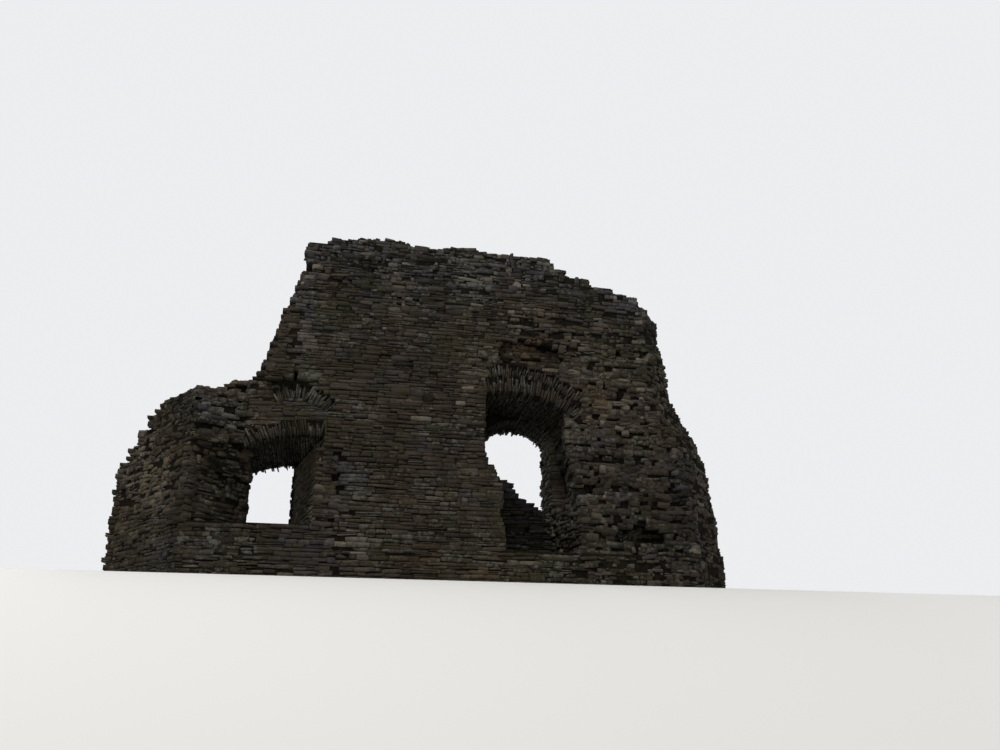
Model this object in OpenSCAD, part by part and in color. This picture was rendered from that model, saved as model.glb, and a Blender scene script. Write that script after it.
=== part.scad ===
// Standing fragment of a ruined castle keep: one thick wall of thin slab masonry, with a
// doorway and a window cut through it, canted corners, robbed faces and a broken top.
// Millimetres. X runs along the wall, Y runs into it from the outer face, Z is up.
// The origin is at the middle of the foot, level with the lowest ground the wall meets.

/* [Wall] */
// Thickness of the wall from face to face
wall_thickness = 3100; // [2800:50:3400]
// Thickness of the coursed facing on either side of the rubble core
facing_thickness = 450; // [430:10:520]
// Height of the tallest stone still standing
wall_height = 9050; // [8900:50:9400]
// Height of the loose, uneven courses at the wall head
head_height = 850; // [650:50:900]
// Height of the foundation courses under every bay
base_height = 800; // [700:50:950]
// Height of one lift of masonry, which is the step of every broken end
lift_height = 350; // [300:10:450]
// Greatest raggedness of a broken end, to either side
raggedness = 90; // [0:10:130]
// Length of one block of the loose courses at the wall head
head_block_length = 600; // [450:50:750]

/* [Bays along the wall] */
// Run of the canted west corner, measured along the wall
west_cant_run = 2150; // [1900:50:2400]
// Width of the west pier, from its corner to the doorway
west_pier_width = 1300; // [1150:50:1450]
// Width of the doorway in the outer face
door_width = 1850; // [1650:50:2000]
// Width of the wall between the doorway and the window
middle_width = 3940; // [3400:20:4400]
// Width of the window in the outer face
window_width = 2200; // [2000:50:2400]
// Width of the wall between the window and the canted east corner
east_width = 3250; // [2900:50:3600]
// Run of the canted east corner, along the wall and into it
east_cant_run = 1390; // [1100:10:1600]
// Height to which the west pier still stands
pier_height = 4540; // [4450:10:4700]
// Height of the loose courses that are left on it beside the doorway
pier_crest_height = 380; // [300:10:450]
// Length of those courses
pier_crest_length = 700; // [600:20:850]
// Height of the wall over the doorway, where the upper wall starts to break off
door_head_height = 4920; // [4850:10:5050]
// Distance by which the east end has worn back, under its top courses
east_wear = 2120; // [1900:20:2300]
// Height to which the east end still stands, under its top courses
east_height = 7800; // [7600:50:7900]
// Set-back of the upper wall's outer facing behind its core, at the west break
facing_setback = 170; // [100:10:250]
// Set-back of its inner facing there
rear_setback = 240; // [150:10:320]
// Least length of any broken layer that still stands
least_stub = 200; // [150:10:260]

/* [Doorway] */
// Height of the threshold
door_sill_height = 1250; // [1100:50:1400]
// Height of the crown of the doorway arch
door_crown_height = 3490; // [3350:10:3600]
// Radius of the flat doorway arch
door_arch_radius = 3200; // [2800:50:3800]
// Distance of the middle of the doorway arch from the east jamb
door_arch_offset = 600; // [400:50:850]
// Depth of the slabs that make the doorway arch
door_slab_length = 360; // [280:10:380]
// Distance by which the west reveal opens out towards the inner face
door_west_splay = 150; // [100:10:250]
// Distance by which the east reveal closes in towards the inner face
door_east_splay = 800; // [500:20:850]
// Depth to which the west jamb is robbed, behind the outer face
west_jamb_robbing = 1150; // [900:50:1300]
// Set-back of the broken face over the west side of the doorway
door_face_setback = 350; // [250:10:370]
// Width of the strip east of the doorway whose dressed corner stones are robbed
quoin_strip_width = 430; // [350:10:520]
// Depth of that strip
quoin_strip_depth = 80; // [50:10:120]

/* [Relieving arch over the doorway] */
// Height of the centre of the relieving arch
relieving_centre_height = 3340; // [3300:10:3360]
// Distance of that centre from the east jamb
relieving_offset = 850; // [820:10:900]
// Radius of the relieving arch along the underside of its slabs
relieving_radius = 1080; // [1040:10:1120]
// Length of its slabs
relieving_slab_length = 370; // [300:10:380]
// Width of the tall hole over its crown, where a slab has fallen out
door_hole_width = 150; // [110:10:190]
// Height of that hole
door_hole_height = 380; // [300:10:450]

/* [Window] */
// Height of the crown of the outer window arch
window_crown_height = 4950; // [4880:10:5100]
// Radius of the outer window arch
window_arch_radius = 2530; // [2350:10:2800]
// Distance of the middle of the outer arch from the west jamb
window_arch_offset = 710; // [600:10:850]
// Length of the slabs in the inner ring of the outer arch
inner_ring_length = 400; // [360:20:460]
// Length of the slabs in the second ring, above the inner one
outer_ring_length = 320; // [280:20:380]
// Distance by which both rings run on past the east jamb
window_haunch = 360; // [300:20:460]
// Depth of the front stage of the window, up to the inner arch
window_front_depth = 1900; // [1700:50:2100]
// Height of the crown of the inner window arch
inner_arch_crown_height = 4810; // [4760:10:4850]
// Rise of the inner window arch above its springing
inner_arch_rise = 430; // [380:10:470]
// Distance by which the inner stage is narrower, on its west side
inner_jamb_width = 310; // [260:10:400]
// Distance by which the east jamb is robbed, at the foot of the window and behind it
east_jamb_robbing = 420; // [300:20:460]
// Height of the broken foot that stands against the west jamb
jamb_foot_height = 2950; // [2700:50:3150]
// Reach of that foot into the window
jamb_foot_reach = 520; // [420:10:600]
// Height of the breast wall of the inner stage, at its west side
breast_wall_height = 3450; // [3300:50:3600]
// Height to which it is broken down at its east side
breast_break_height = 1950; // [1850:50:2150]

/* [Robbed places] */
// Depth to which the facing is robbed from the wall east of the window
robbed_depth = 150; // [100:10:200]
// Width of the hollow left over the window, where its facing has fallen
recess_width = 1900; // [1500:50:2000]
// Height of that hollow
recess_height = 720; // [500:20:780]
// Depth of that hollow
recess_depth = 260; // [150:10:300]
// Height of its foot above the second ring of the window arch
recess_gap = 60; // [40:10:150]
// Depth of the small holes in the robbed core
hollow_depth = 340; // [200:10:450]
// Width of the long hollow low in the robbed core
ledge_hollow_width = 1400; // [1100:50:1600]
// Height of that hollow
ledge_hollow_height = 460; // [350:10:520]

/* [Slabs] */
// Depth by which the lengths of coursed facing stand proud of one another
face_relief = 35; // [20:5:50]
// Length of facing that was laid at one time
face_length = 620; // [500:20:760]
// Thickness of one slab as laid
slab_thickness = 115; // [95:5:140]
// Width of the mortar joint between two slabs of an arch
arch_joint = 22; // [14:2:30]
// Depth to which the mortar has washed out between the arch slabs
slab_relief = 35; // [20:5:50]

/* [Hidden] */

// Planes along the wall
overall_length = west_cant_run + west_pier_width + door_width + middle_width
    + window_width + east_width + east_cant_run;
x_tip = -overall_length / 2;
x_corner = x_tip + west_cant_run;
x_door_west = x_corner + west_pier_width;
x_pier_east = x_door_west - door_west_splay;
x_door_east = x_door_west + door_width;
x_window_west = x_door_east + middle_width;
x_window_east = x_window_west + window_width;
x_cant = x_window_east + east_width;

// Planes through the wall
y_front = -wall_thickness / 2;
y_rear = wall_thickness / 2;
y_core_front = y_front + facing_thickness;
y_core_rear = y_rear - facing_thickness;
y_window_stage = y_front + window_front_depth;

// Levels: every bay is built in the same lifts, which start at the foundation courses.
// The first and last lift of a piece reach to its own ends.
function level(i) = base_height + i * lift_height;
function lift_at(z) = round((z - base_height) / lift_height);
function lift_foot(i, z0) = i <= lift_at(z0) ? z0 : level(i);
function lift_top(i, z1) = i >= lift_at(z1) - 1 ? z1 : level(i + 1);
z_head = wall_height - head_height;
z_east_top = level(lift_at(east_height));
z_door_centre = door_crown_height - door_arch_radius;
x_door_centre = x_door_east - door_arch_offset;
z_window_centre = window_crown_height - window_arch_radius;
x_window_centre = x_window_west + window_arch_offset;

// Inner arch of the window: its radius follows from its span and rise
inner_span = window_width - inner_jamb_width;
inner_arch_radius = (inner_span * inner_span / 4 + inner_arch_rise * inner_arch_rise)
    / (2 * inner_arch_rise);
x_inner_centre = x_window_east - inner_span / 2;
z_inner_centre = inner_arch_crown_height - inner_arch_radius;
z_inner_spring = inner_arch_crown_height - inner_arch_rise;

// Relieving arch: its centre, and the angles between which it survives
x_relieving_centre = x_door_east - relieving_offset;
z_relieving_centre = relieving_centre_height;
relieving_start = 43;
relieving_end = 112;

// Outlines of the broken edges, as shares of the sizes that they are drawn with.
// Canted west face: share of the pier's height, share of the wall's thickness that stands
west_cant_profile = [[0.624, 1], [0.82, 0.78], [0.92, 0.58], [1, 0.48]];
// West jamb: share of the doorway's height, share of its robbing
west_jamb_profile = [[0.66, 1], [1, 0]];
// Upper wall west of the doorway's east jamb: share of its height, share of its foot's width
upper_west_profile = [
    [0, 1], [0.056, 0.9], [0.17, 0.75], [0.373, 0.695], [0.465, 0.58],
    [0.557, 0.54], [0.717, 0.42], [0.866, 0.41], [0.93, 0.25]
];
// East end: share of the wall's height, share of the wear under its top courses
east_profile = [
    [0, 0], [0.11, 0.04], [0.215, 0.06], [0.302, 0.12], [0.377, 0.16], [0.417, 0.23],
    [0.461, 0.29], [0.492, 0.4], [0.53, 0.5], [0.566, 0.6], [0.608, 0.7], [0.68, 0.74],
    [0.738, 0.86], [0.8, 0.88], [0.842, 1]
];
// East cant: share of the wall's height, share of its run that is left
east_cant_profile = [[0.48, 1], [0.622, 0.65], [0.738, 0.4], [0.84, 0.32]];
// Robbed face east of the window: share of the wall's height, share of the robbed depth
robbing_profile = [[0.5, 1], [0.6, 0.65], [0.7, 0.3], [0.78, 0]];
// East jamb of the window: share of the window's height, share of its robbing
east_jamb_profile = [[0.16, 1], [0.485, 0.7], [0.747, 0]];
// Its reveal behind the outer face, above the breast wall, in the same shares
east_reveal_profile = [[0.44, 0], [0.46, 1], [0.56, 1], [0.62, 0.95], [0.76, 0.5], [0.9, 0]];
// Breast wall: share of the window's width, share of the height that is broken away
breast_profile = [
    [0.1, 0], [0.26, 0.1], [0.355, 0.35], [0.505, 0.46], [0.605, 0.7], [0.82, 0.93], [1, 1]
];
// Foot of the west jamb: share of its height, share of its reach
jamb_foot_profile = [[0.27, 1], [0.61, 0.83], [0.88, 0.77], [0.97, 0.23]];
// Top of the wall: distance from the doorway as a share of the middle and window bays, and
// depth of the skyline below the tallest stone as a share of the head's height
head_profile = [
    [-0.14, 0.65], [-0.085, 0.35], [-0.023, 0.15], [0.08, 0.12], [0.2, 0], [0.3, 0],
    [0.34, 0.25], [0.508, 0.07], [0.577, 0], [0.627, 0.25], [0.731, 0.15], [0.9, 0.2],
    [0.953, 0.48], [1, 0.62], [1.068, 0.78], [1.176, 1.04], [1.274, 1.26], [1.344, 1.42]
];
// Holes in the robbed core: share of the east bay's width, share of the wall's height,
// width and height in slabs
core_hollows = [
    [0.26, 0.457, 1.3, 1.1], [0.406, 0.472, 1.9, 1], [0.265, 0.415, 1.4, 1],
    [0.332, 0.367, 3.6, 1.1], [0.17, 0.255, 5.4, 3.1], [0.75, 0.297, 1.3, 1.1],
    [0.822, 0.361, 1.2, 1], [0.585, 0.558, 1.5, 1], [0.462, 0.685, 1.7, 1]
];
// Long hollow low in the robbed core: share of the bay's width, share of the wall's height
ledge_hollow_place = [0.57, 0.124];
// Hollow over the window: corners as shares of its width and height
recess_outline = [
    [0, 0], [0.96, 0.06], [0.98, 0.62], [0.74, 0.8], [0.53, 0.92], [0.32, 1], [0.13, 0.86],
    [-0.02, 0.5]
];

tan_half_cant = tan(22.5);
arch_facets = 480;
// Distance by which a cutting shape runs past what it cuts
past = 1;

// A repeatable random number between -1 and 1
function random_at(i, seed) = rands(-1, 1, i + 1, seed)[i];
function ragged(i, seed) = raggedness * random_at(i, seed);

// Stacks one plan outline per lift; plan is a function of height and lift number
module lifts(z0, z1, plan) {
    for (i = [lift_at(z0) : lift_at(z1) - 1])
        upright(lift_foot(i, z0), lift_top(i, z1)) polygon(plan(level(i + 0.5), i));
}

// A block between two corners
module block(x0, x1, y0, y1, z0, z1) {
    translate([x0, y0, z0]) cube([x1 - x0, y1 - y0, z1 - z0]);
}

// An elevation outline in X and Z, carried through the wall from y0 to y1
module through(y0, y1) {
    translate([0, y1, 0]) rotate([90, 0, 0]) linear_extrude(y1 - y0) children();
}

// A plan outline between two levels
module upright(z0, z1) {
    translate([0, 0, z0]) linear_extrude(z1 - z0) children();
}

// A full round bar through the wall, for the curve of an arch
module arch_bar(x, z, r, y0, y1) {
    translate([x, y1, z]) rotate([90, 0, 0]) cylinder(r = r, h = y1 - y0, $fn = arch_facets);
}

// A barrel of masonry between two radii
module arch_shell(x, z, r, thickness, y0, y1) {
    difference() {
        arch_bar(x, z, r + thickness, y0, y1);
        arch_bar(x, z, r, y0 - past, y1 + past);
    }
}

// Elevation outline with a ragged west edge and a plumb east edge; reach is a function of height
function ragged_west_outline(reach, x_east, z0, z1, seed) = concat(
    [for (i = [lift_at(z0) : lift_at(z1) - 1], k = [0, 1])
        [x_east - max(least_stub, reach(level(i + 0.5)) + ragged(i, seed)),
         k == 0 ? lift_foot(i, z0) : lift_top(i, z1)]],
    [[x_east, z1], [x_east, z0]]
);

// Radial slabs of an arch on a bed of mortar, which is the child, between two angles from +X.
// face(x) is the wall face at x, which the slabs come up to.
module slab_ring(x, z, r, length, start, end, y_back, face, seed) {
    middle_radius = r + length / 2;
    count = max(3, round((end - start) * PI / 180 * middle_radius
        / (slab_thickness + arch_joint)));
    step = (end - start) / count;
    half_joint = arch_joint / middle_radius * 90 / PI;
    reach = 1.2 * (r + length);
    intersection() {
        arch_shell(x, z, r, length, y_front, y_back);
        union() {
            children();
            for (i = [0 : count - 1]) {
                a0 = start + i * step + half_joint;
                a1 = start + (i + 1) * step - half_joint;
                y0 = face(x + r * cos((a0 + a1) / 2))
                    + slab_relief * (0.4 + 0.4 * random_at(i, seed));
                through(y0, y_back)
                    polygon([
                        [x, z], [x + reach * cos(a0), z + reach * sin(a0)],
                        [x + reach * cos(a1), z + reach * sin(a1)]
                    ]);
            }
        }
    }
}

// Plan of one lift of a coursed facing between its outer and its inner plane. It was laid in
// lengths that stand proud by turns, and the next lift has its own.
function face_end(x0, x1, k, count, i, seed) = k == 0 ? x0 : k == count ? x1
    : round(x0 + (x1 - x0) * (k + 0.3 * random_at(k, seed + i)) / count);
function face_plan(x0, x1, y_face, y_inner, i, seed) =
    let (count = max(2, round((x1 - x0) / face_length)), inward = sign(y_inner - y_face))
    concat(
        [for (k = [0 : count - 1], end = [0, 1])
            [face_end(x0, x1, k + end, count, i, seed),
             y_face + inward * round((k + i) % 2
                 * face_relief * (0.75 + 0.25 * random_at(k, seed + 2 * i)))]],
        [[x1, y_inner], [x0, y_inner]]
    );

// Angles at which a circle about (x, z) meets a plumb line, measured from +X
function angle_at(x_line, x, r) = acos((x_line - x) / r);

// West pier in plan
function x_cant_line(y) = x_corner - west_cant_run * (y - y_front) / wall_thickness;
cant_shift = facing_thickness * norm([west_cant_run, wall_thickness]) / wall_thickness;
function cant_tip(z) = y_front
    + min(wall_thickness * lookup(z / pier_height, west_cant_profile), y_core_rear - y_front);
function jamb_depth(z) = y_front + door_face_setback
    + (west_jamb_robbing - door_face_setback) * lookup(z / door_crown_height, west_jamb_profile);
function jamb_slope(z) = (jamb_depth(z) - y_front) / (x_pier_east - x_corner);
// Where the inner line of the cant facing meets the robbed face
function facing_root(z) =
    let (slope = jamb_slope(z), lean = west_cant_run / wall_thickness)
    let (dx = cant_shift / (1 + slope * lean))
    [x_corner + dx, y_front + slope * dx];
function pier_ragged(z, i, seed) =
    z < west_cant_profile[0][0] * pier_height ? 0 : ragged(i, seed);

module west_base() {
    color([0.24, 0.22, 0.18]) upright(0, base_height)
        polygon([
            [x_corner, y_front], [x_door_east, y_front], [x_door_east, y_rear], [x_tip, y_rear]
        ]);
}

module middle_base() {
    color([0.24, 0.22, 0.18])
        block(x_door_east, x_window_west, y_front, y_rear, 0, base_height);
}

module window_base() {
    color([0.24, 0.22, 0.18])
        block(x_window_west, x_window_east, y_front, y_rear, 0, base_height);
}

module east_base() {
    color([0.24, 0.22, 0.18]) upright(0, base_height)
        polygon([
            [x_window_east, y_front], [x_cant, y_front],
            [x_cant + east_cant_run, y_front + east_cant_run],
            [x_cant + east_cant_run, y_rear], [x_window_east, y_rear]
        ]);
}

module west_pier_facing() {
    color([0.30, 0.25, 0.20])
        lifts(base_height, pier_height, function (z, i)
            let (tip = cant_tip(z) + min(0, pier_ragged(z, i, 11)))
            [
                [x_corner, y_front], facing_root(z),
                [x_cant_line(tip) + cant_shift, tip], [x_cant_line(tip), tip]
            ]);
}

module west_pier_core() {
    color([0.22, 0.19, 0.16])
        lifts(base_height, pier_height, function (z, i)
            let (tip = cant_tip(z) + min(0, pier_ragged(z, i, 11)))
            concat(
                [facing_root(z), [x_pier_east, jamb_depth(z)], [x_pier_east, y_core_rear]],
                tip < y_core_rear ? [[x_cant_line(tip) + cant_shift, y_core_rear]] : [],
                [[x_cant_line(tip) + cant_shift, tip]]
            ));
    steps = 3;
    color([0.22, 0.19, 0.16])
        for (step = [1 : steps])
            block(round(x_pier_east - pier_crest_length * (steps + 1 - step) / steps),
                x_pier_east, y_core_front, y_core_rear, pier_height,
                round(pier_height + pier_crest_height * step / steps));
}

module west_pier_rear_facing() {
    color([0.27, 0.24, 0.20])
        lifts(base_height, pier_height - lift_height, function (z, i)
            let (tip = cant_tip(z))
            [
                [x_pier_east, y_core_rear], [x_pier_east, y_rear],
                [tip < y_core_rear ? x_cant_line(tip) + cant_shift - pier_ragged(z, i, 17)
                    : x_cant_line(y_rear), y_rear],
                [tip < y_core_rear ? x_cant_line(tip) + cant_shift - pier_ragged(z, i, 17)
                    : x_cant_line(y_core_rear), y_core_rear]
            ]);
}

// Jambs of the doorway, up to the underside of its vault. The west one is stepped in lifts
// and ends in one block under the springing.
z_door_spring = z_door_centre
    + sqrt(door_arch_radius * door_arch_radius - pow(x_door_centre - x_pier_east, 2));
z_jamb_step = level(lift_at(z_door_spring - lift_height));
function west_jamb_plan(z) = [
    [x_pier_east, jamb_depth(z)],
    [x_door_west, y_front + jamb_slope(z) * (x_door_west - x_corner)],
    [x_pier_east, y_rear]
];

module door_west_jamb() {
    color([0.28, 0.25, 0.20]) intersection() {
        union() {
            lifts(base_height, z_jamb_step, function (z, i) west_jamb_plan(z));
            upright(z_jamb_step, door_crown_height) polygon(west_jamb_plan(z_door_spring));
        }
        arch_bar(x_door_centre, z_door_centre, door_arch_radius, y_front - past,
            y_rear + past);
    }
}

module door_east_jamb() {
    color([0.33, 0.28, 0.22]) intersection() {
        upright(base_height, door_crown_height)
            polygon([
                [x_door_east, y_front], [x_door_east, y_rear],
                [x_door_east - door_east_splay, y_rear]
            ]);
        arch_bar(x_door_centre, z_door_centre, door_arch_radius, y_front - past,
            y_rear + past);
    }
}

module door_threshold() {
    sill_line = y_front + jamb_slope(base_height) * (x_door_west - x_corner);
    color([0.26, 0.23, 0.19]) upright(base_height, door_sill_height)
        polygon([
            [x_corner, y_front], [x_door_east, y_front],
            [x_door_east - door_east_splay, y_rear], [x_pier_east, y_rear],
            [x_door_west, sill_line]
        ]);
}

// The broken face over the doorway lies further back towards the west
door_bay = x_door_east - x_pier_east;
function door_face(x) = y_front + door_face_setback * max(0, x_door_east - x) / door_bay;

module door_head_plan(y_east_front, y_west_front, y_back) {
    polygon([
        [x_door_east, y_east_front], [x_door_east, y_back],
        [x_pier_east, y_back], [x_pier_east, y_west_front]
    ]);
}

// The mortar between the arch slabs lies a little behind the face
module door_mortar_plan() {
    door_head_plan(y_front + slab_relief, y_front + door_face_setback + slab_relief,
        y_core_front);
}

module door_arch_slabs() {
    outer = door_arch_radius + door_slab_length;
    color([0.36, 0.33, 0.27])
        slab_ring(x_door_centre, z_door_centre, door_arch_radius, door_slab_length,
            angle_at(x_door_east, x_door_centre, outer),
            angle_at(x_pier_east, x_door_centre, outer),
            y_core_front, function (x) door_face(x), 23)
            upright(z_door_centre, pier_height) door_mortar_plan();
}

module door_vault() {
    color([0.20, 0.18, 0.15]) intersection() {
        arch_shell(x_door_centre, z_door_centre, door_arch_radius, door_slab_length,
            y_core_front, y_rear);
        block(x_pier_east, x_door_east, y_core_front, y_rear, z_door_centre, pier_height);
    }
}

// The east haunch of the relieving arch runs on into the next bay
module relieving_sector(y0, y1) {
    reach = relieving_radius + relieving_slab_length;
    intersection() {
        arch_shell(x_relieving_centre, z_relieving_centre, relieving_radius,
            relieving_slab_length, y0, y1);
        through(y0, y1)
            polygon([
                [x_relieving_centre, z_relieving_centre],
                [x_relieving_centre + 2 * reach * cos(relieving_start),
                 z_relieving_centre + 2 * reach * sin(relieving_start)],
                [x_relieving_centre + 2 * reach * cos(relieving_end),
                 z_relieving_centre + 2 * reach * sin(relieving_end)]
            ]);
    }
}

module door_relieving_arch() {
    color([0.36, 0.33, 0.27]) intersection() {
        slab_ring(x_relieving_centre, z_relieving_centre, relieving_radius,
            relieving_slab_length, relieving_start, relieving_end, y_core_front,
            function (x) door_face(x), 29)
            union() {
                z_top = z_relieving_centre + 2 * relieving_radius;
                upright(z_relieving_centre, z_top) door_mortar_plan();
                block(x_door_east, x_door_east + relieving_radius,
                    y_front + slab_relief, y_core_front, z_relieving_centre, z_top);
            }
        relieving_sector(y_front, y_core_front);
    }
}

// The tall hole over the relieving arch
module door_hole() {
    x = x_relieving_centre;
    z = round(z_relieving_centre + relieving_radius + relieving_slab_length + slab_thickness);
    block(x - door_hole_width / 2, x + door_hole_width / 2, y_front - past,
        y_front + hollow_depth, z, z + door_hole_height);
}

// Masonry over the doorway, up to the foot of the upper wall
module door_head_layer(y0, y1, z_top) {
    difference() {
        block(x_pier_east, x_door_east, y0, y1, z_door_centre + door_arch_radius / 2, z_top);
        arch_bar(x_door_centre, z_door_centre, door_arch_radius + door_slab_length,
            y0 - past, y1 + past);
    }
}

module door_head_facing() {
    color([0.28, 0.25, 0.21]) difference() {
        intersection() {
            door_head_layer(y_front, y_core_front, door_head_height);
            upright(0, wall_height)
                door_head_plan(y_front, y_front + door_face_setback, y_core_front);
        }
        relieving_sector(y_front - past, y_core_front + past);
        door_hole();
    }
}

module door_head_core() {
    color([0.22, 0.20, 0.17]) door_head_layer(y_core_front, y_core_rear, door_head_height);
}

module door_head_rear_facing() {
    color([0.27, 0.25, 0.21])
        door_head_layer(y_core_rear, y_rear, door_head_height);
}

// Upper wall west of the doorway's east jamb: each layer breaks off along its own line
function upper_west_reach(z) = door_bay
    * lookup((z - door_head_height) / (wall_height - door_head_height), upper_west_profile);

module upper_west_layer(y0, y1, z_top, trim, seed) {
    through(y0, y1)
        polygon(ragged_west_outline(function (z) upper_west_reach(z) - trim, x_door_east,
            door_head_height, z_top, seed));
}

module upper_west_facing() {
    color([0.29, 0.27, 0.23]) difference() {
        upper_west_layer(y_front, y_core_front, z_head, facing_setback, 31);
        relieving_sector(y_front - past, y_core_front + past);
        door_hole();
    }
}

module upper_west_core() {
    color([0.23, 0.21, 0.18])
        upper_west_layer(y_core_front, y_core_rear, z_head, 0, 37);
}

module upper_west_rear_facing() {
    color([0.27, 0.25, 0.21])
        upper_west_layer(y_core_rear, y_rear, z_head - lift_height, rear_setback, 41);
}

// The dressed corner stones of the doorway are robbed, up to the springing of its arch
module middle_facing() {
    color([0.31, 0.29, 0.24]) difference() {
        lifts(base_height, z_head, function (z, i)
            face_plan(x_door_east, x_window_west, y_front, y_core_front, i, 83));
        relieving_sector(y_front - past, y_core_front + past);
        block(x_door_east - past, x_door_east + quoin_strip_width, y_front - past,
            y_front + quoin_strip_depth, door_sill_height, door_crown_height - lift_height);
    }
}

module middle_core() {
    color([0.23, 0.21, 0.18])
        block(x_door_east, x_window_west, y_core_front, y_core_rear, base_height, z_head);
}

module middle_rear_facing() {
    color([0.27, 0.25, 0.21])
        lifts(base_height, z_head - lift_height, function (z, i)
            face_plan(x_door_east, x_window_west, y_rear, y_core_rear, i, 89));
}

// Outer window arch: two rings of slabs over a front barrel. They run on into the east bay.
x_haunch = x_window_east + window_haunch;

module window_ring(r, length, seed) {
    slab_ring(x_window_centre, z_window_centre, r, length,
        angle_at(x_haunch, x_window_centre, r + length),
        angle_at(x_window_west, x_window_centre, r + length),
        y_core_front, function (x) y_front, seed)
        block(x_window_west, x_haunch, y_front + slab_relief, y_core_front,
            z_window_centre, wall_height);
}

module window_haunch_sector(y0, y1) {
    intersection() {
        arch_shell(x_window_centre, z_window_centre, window_arch_radius,
            inner_ring_length + outer_ring_length, y0, y1);
        block(x_window_east - past, x_haunch, y0, y1, z_window_centre, wall_height);
    }
}

module window_inner_ring() {
    color([0.36, 0.33, 0.27]) window_ring(window_arch_radius, inner_ring_length, 43);
}

module window_outer_ring() {
    color([0.33, 0.30, 0.25])
        window_ring(window_arch_radius + inner_ring_length, outer_ring_length, 47);
}

module window_front_vault() {
    color([0.19, 0.17, 0.14]) intersection() {
        arch_shell(x_window_centre, z_window_centre, window_arch_radius, inner_ring_length,
            y_core_front, y_window_stage);
        block(x_window_west, x_window_east, y_core_front, y_window_stage,
            z_window_centre, wall_height);
    }
}

module window_rear_arch() {
    color([0.20, 0.18, 0.15]) intersection() {
        arch_shell(x_inner_centre, z_inner_centre, inner_arch_radius, inner_ring_length,
            y_window_stage, y_rear);
        block(x_window_west, x_window_east, y_window_stage, y_rear,
            z_inner_spring, wall_height);
    }
}

module window_west_jamb_foot() {
    color([0.29, 0.27, 0.22]) through(y_front, y_window_stage)
        polygon(concat(
            [[x_window_west, base_height]],
            [for (i = [0 : lift_at(jamb_foot_height) - 1], k = [0, 1])
                [x_window_west + ragged(i, 53) / 2 + jamb_foot_reach
                    * lookup(level(i + 0.5) / jamb_foot_height, jamb_foot_profile),
                 k == 0 ? level(i) : lift_top(i, jamb_foot_height)]],
            [[x_window_west, jamb_foot_height]]
        ));
}

module window_rear_jamb() {
    color([0.25, 0.22, 0.18])
        block(x_window_west, x_window_west + inner_jamb_width, y_window_stage, y_rear,
            base_height, z_inner_spring);
}

module window_breast_wall() {
    x0 = x_window_west + inner_jamb_width;
    steps = 7;
    step = (x_window_east - x0) / steps;
    color([0.27, 0.26, 0.21]) through(y_window_stage, y_rear)
        polygon(concat(
            [for (i = [0 : steps - 1], k = [0, 1])
                [x0 + (i + k) * step,
                 breast_wall_height + ragged(i, 59) / 2
                    - (breast_wall_height - breast_break_height)
                    * lookup((x0 - x_window_west + (i + 0.5) * step) / window_width,
                        breast_profile)]],
            [[x_window_east, base_height], [x0, base_height]]
        ));
}

// Masonry over the window
module window_head_facing() {
    outer = window_arch_radius + inner_ring_length + outer_ring_length;
    z_foot = z_window_centre + outer + recess_gap;
    x_foot = x_window_west + recess_width / 6;
    color([0.30, 0.28, 0.23]) difference() {
        lifts(z_inner_spring, z_head, function (z, i)
            face_plan(x_window_west, x_window_east, y_front, y_core_front, i, 97));
        arch_bar(x_window_centre, z_window_centre, outer, y_front - past,
            y_core_front + past);
        through(y_front - past, y_front + recess_depth)
            polygon([for (p = recess_outline)
                [x_foot + p[0] * recess_width, z_foot + p[1] * recess_height]]);
    }
}

module window_head_core() {
    color([0.23, 0.21, 0.18]) difference() {
        block(x_window_west, x_window_east, y_core_front, y_core_rear, z_inner_spring, z_head);
        arch_bar(x_window_centre, z_window_centre, window_arch_radius + inner_ring_length,
            y_core_front - past, y_window_stage);
        arch_bar(x_inner_centre, z_inner_centre, inner_arch_radius + inner_ring_length,
            y_window_stage - past, y_core_rear + past);
    }
}

module window_head_rear_facing() {
    color([0.27, 0.25, 0.21]) difference() {
        lifts(z_inner_spring, z_head - lift_height, function (z, i)
            face_plan(x_window_west, x_window_east, y_rear, y_core_rear, i, 101));
        arch_bar(x_inner_centre, z_inner_centre, inner_arch_radius + inner_ring_length,
            y_core_rear - past, y_rear + past);
    }
}

// East end in plan: it tapers with height as its canted corner wears away
function east_reach(z, i) = x_cant + east_cant_run + ragged(i, 61) / 2
    - east_wear * lookup(z / wall_height, east_profile);
function east_front_end(z, i) = east_reach(z, i)
    - east_cant_run * lookup(z / wall_height, east_cant_profile);
function cant_side(z, i) = y_front + east_reach(z, i) - east_front_end(z, i);
function robbing(z) = robbed_depth * lookup(z / wall_height, robbing_profile);
function reveal_line(z) = x_window_east
    + east_jamb_robbing * lookup(z / window_crown_height, east_reveal_profile);

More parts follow.
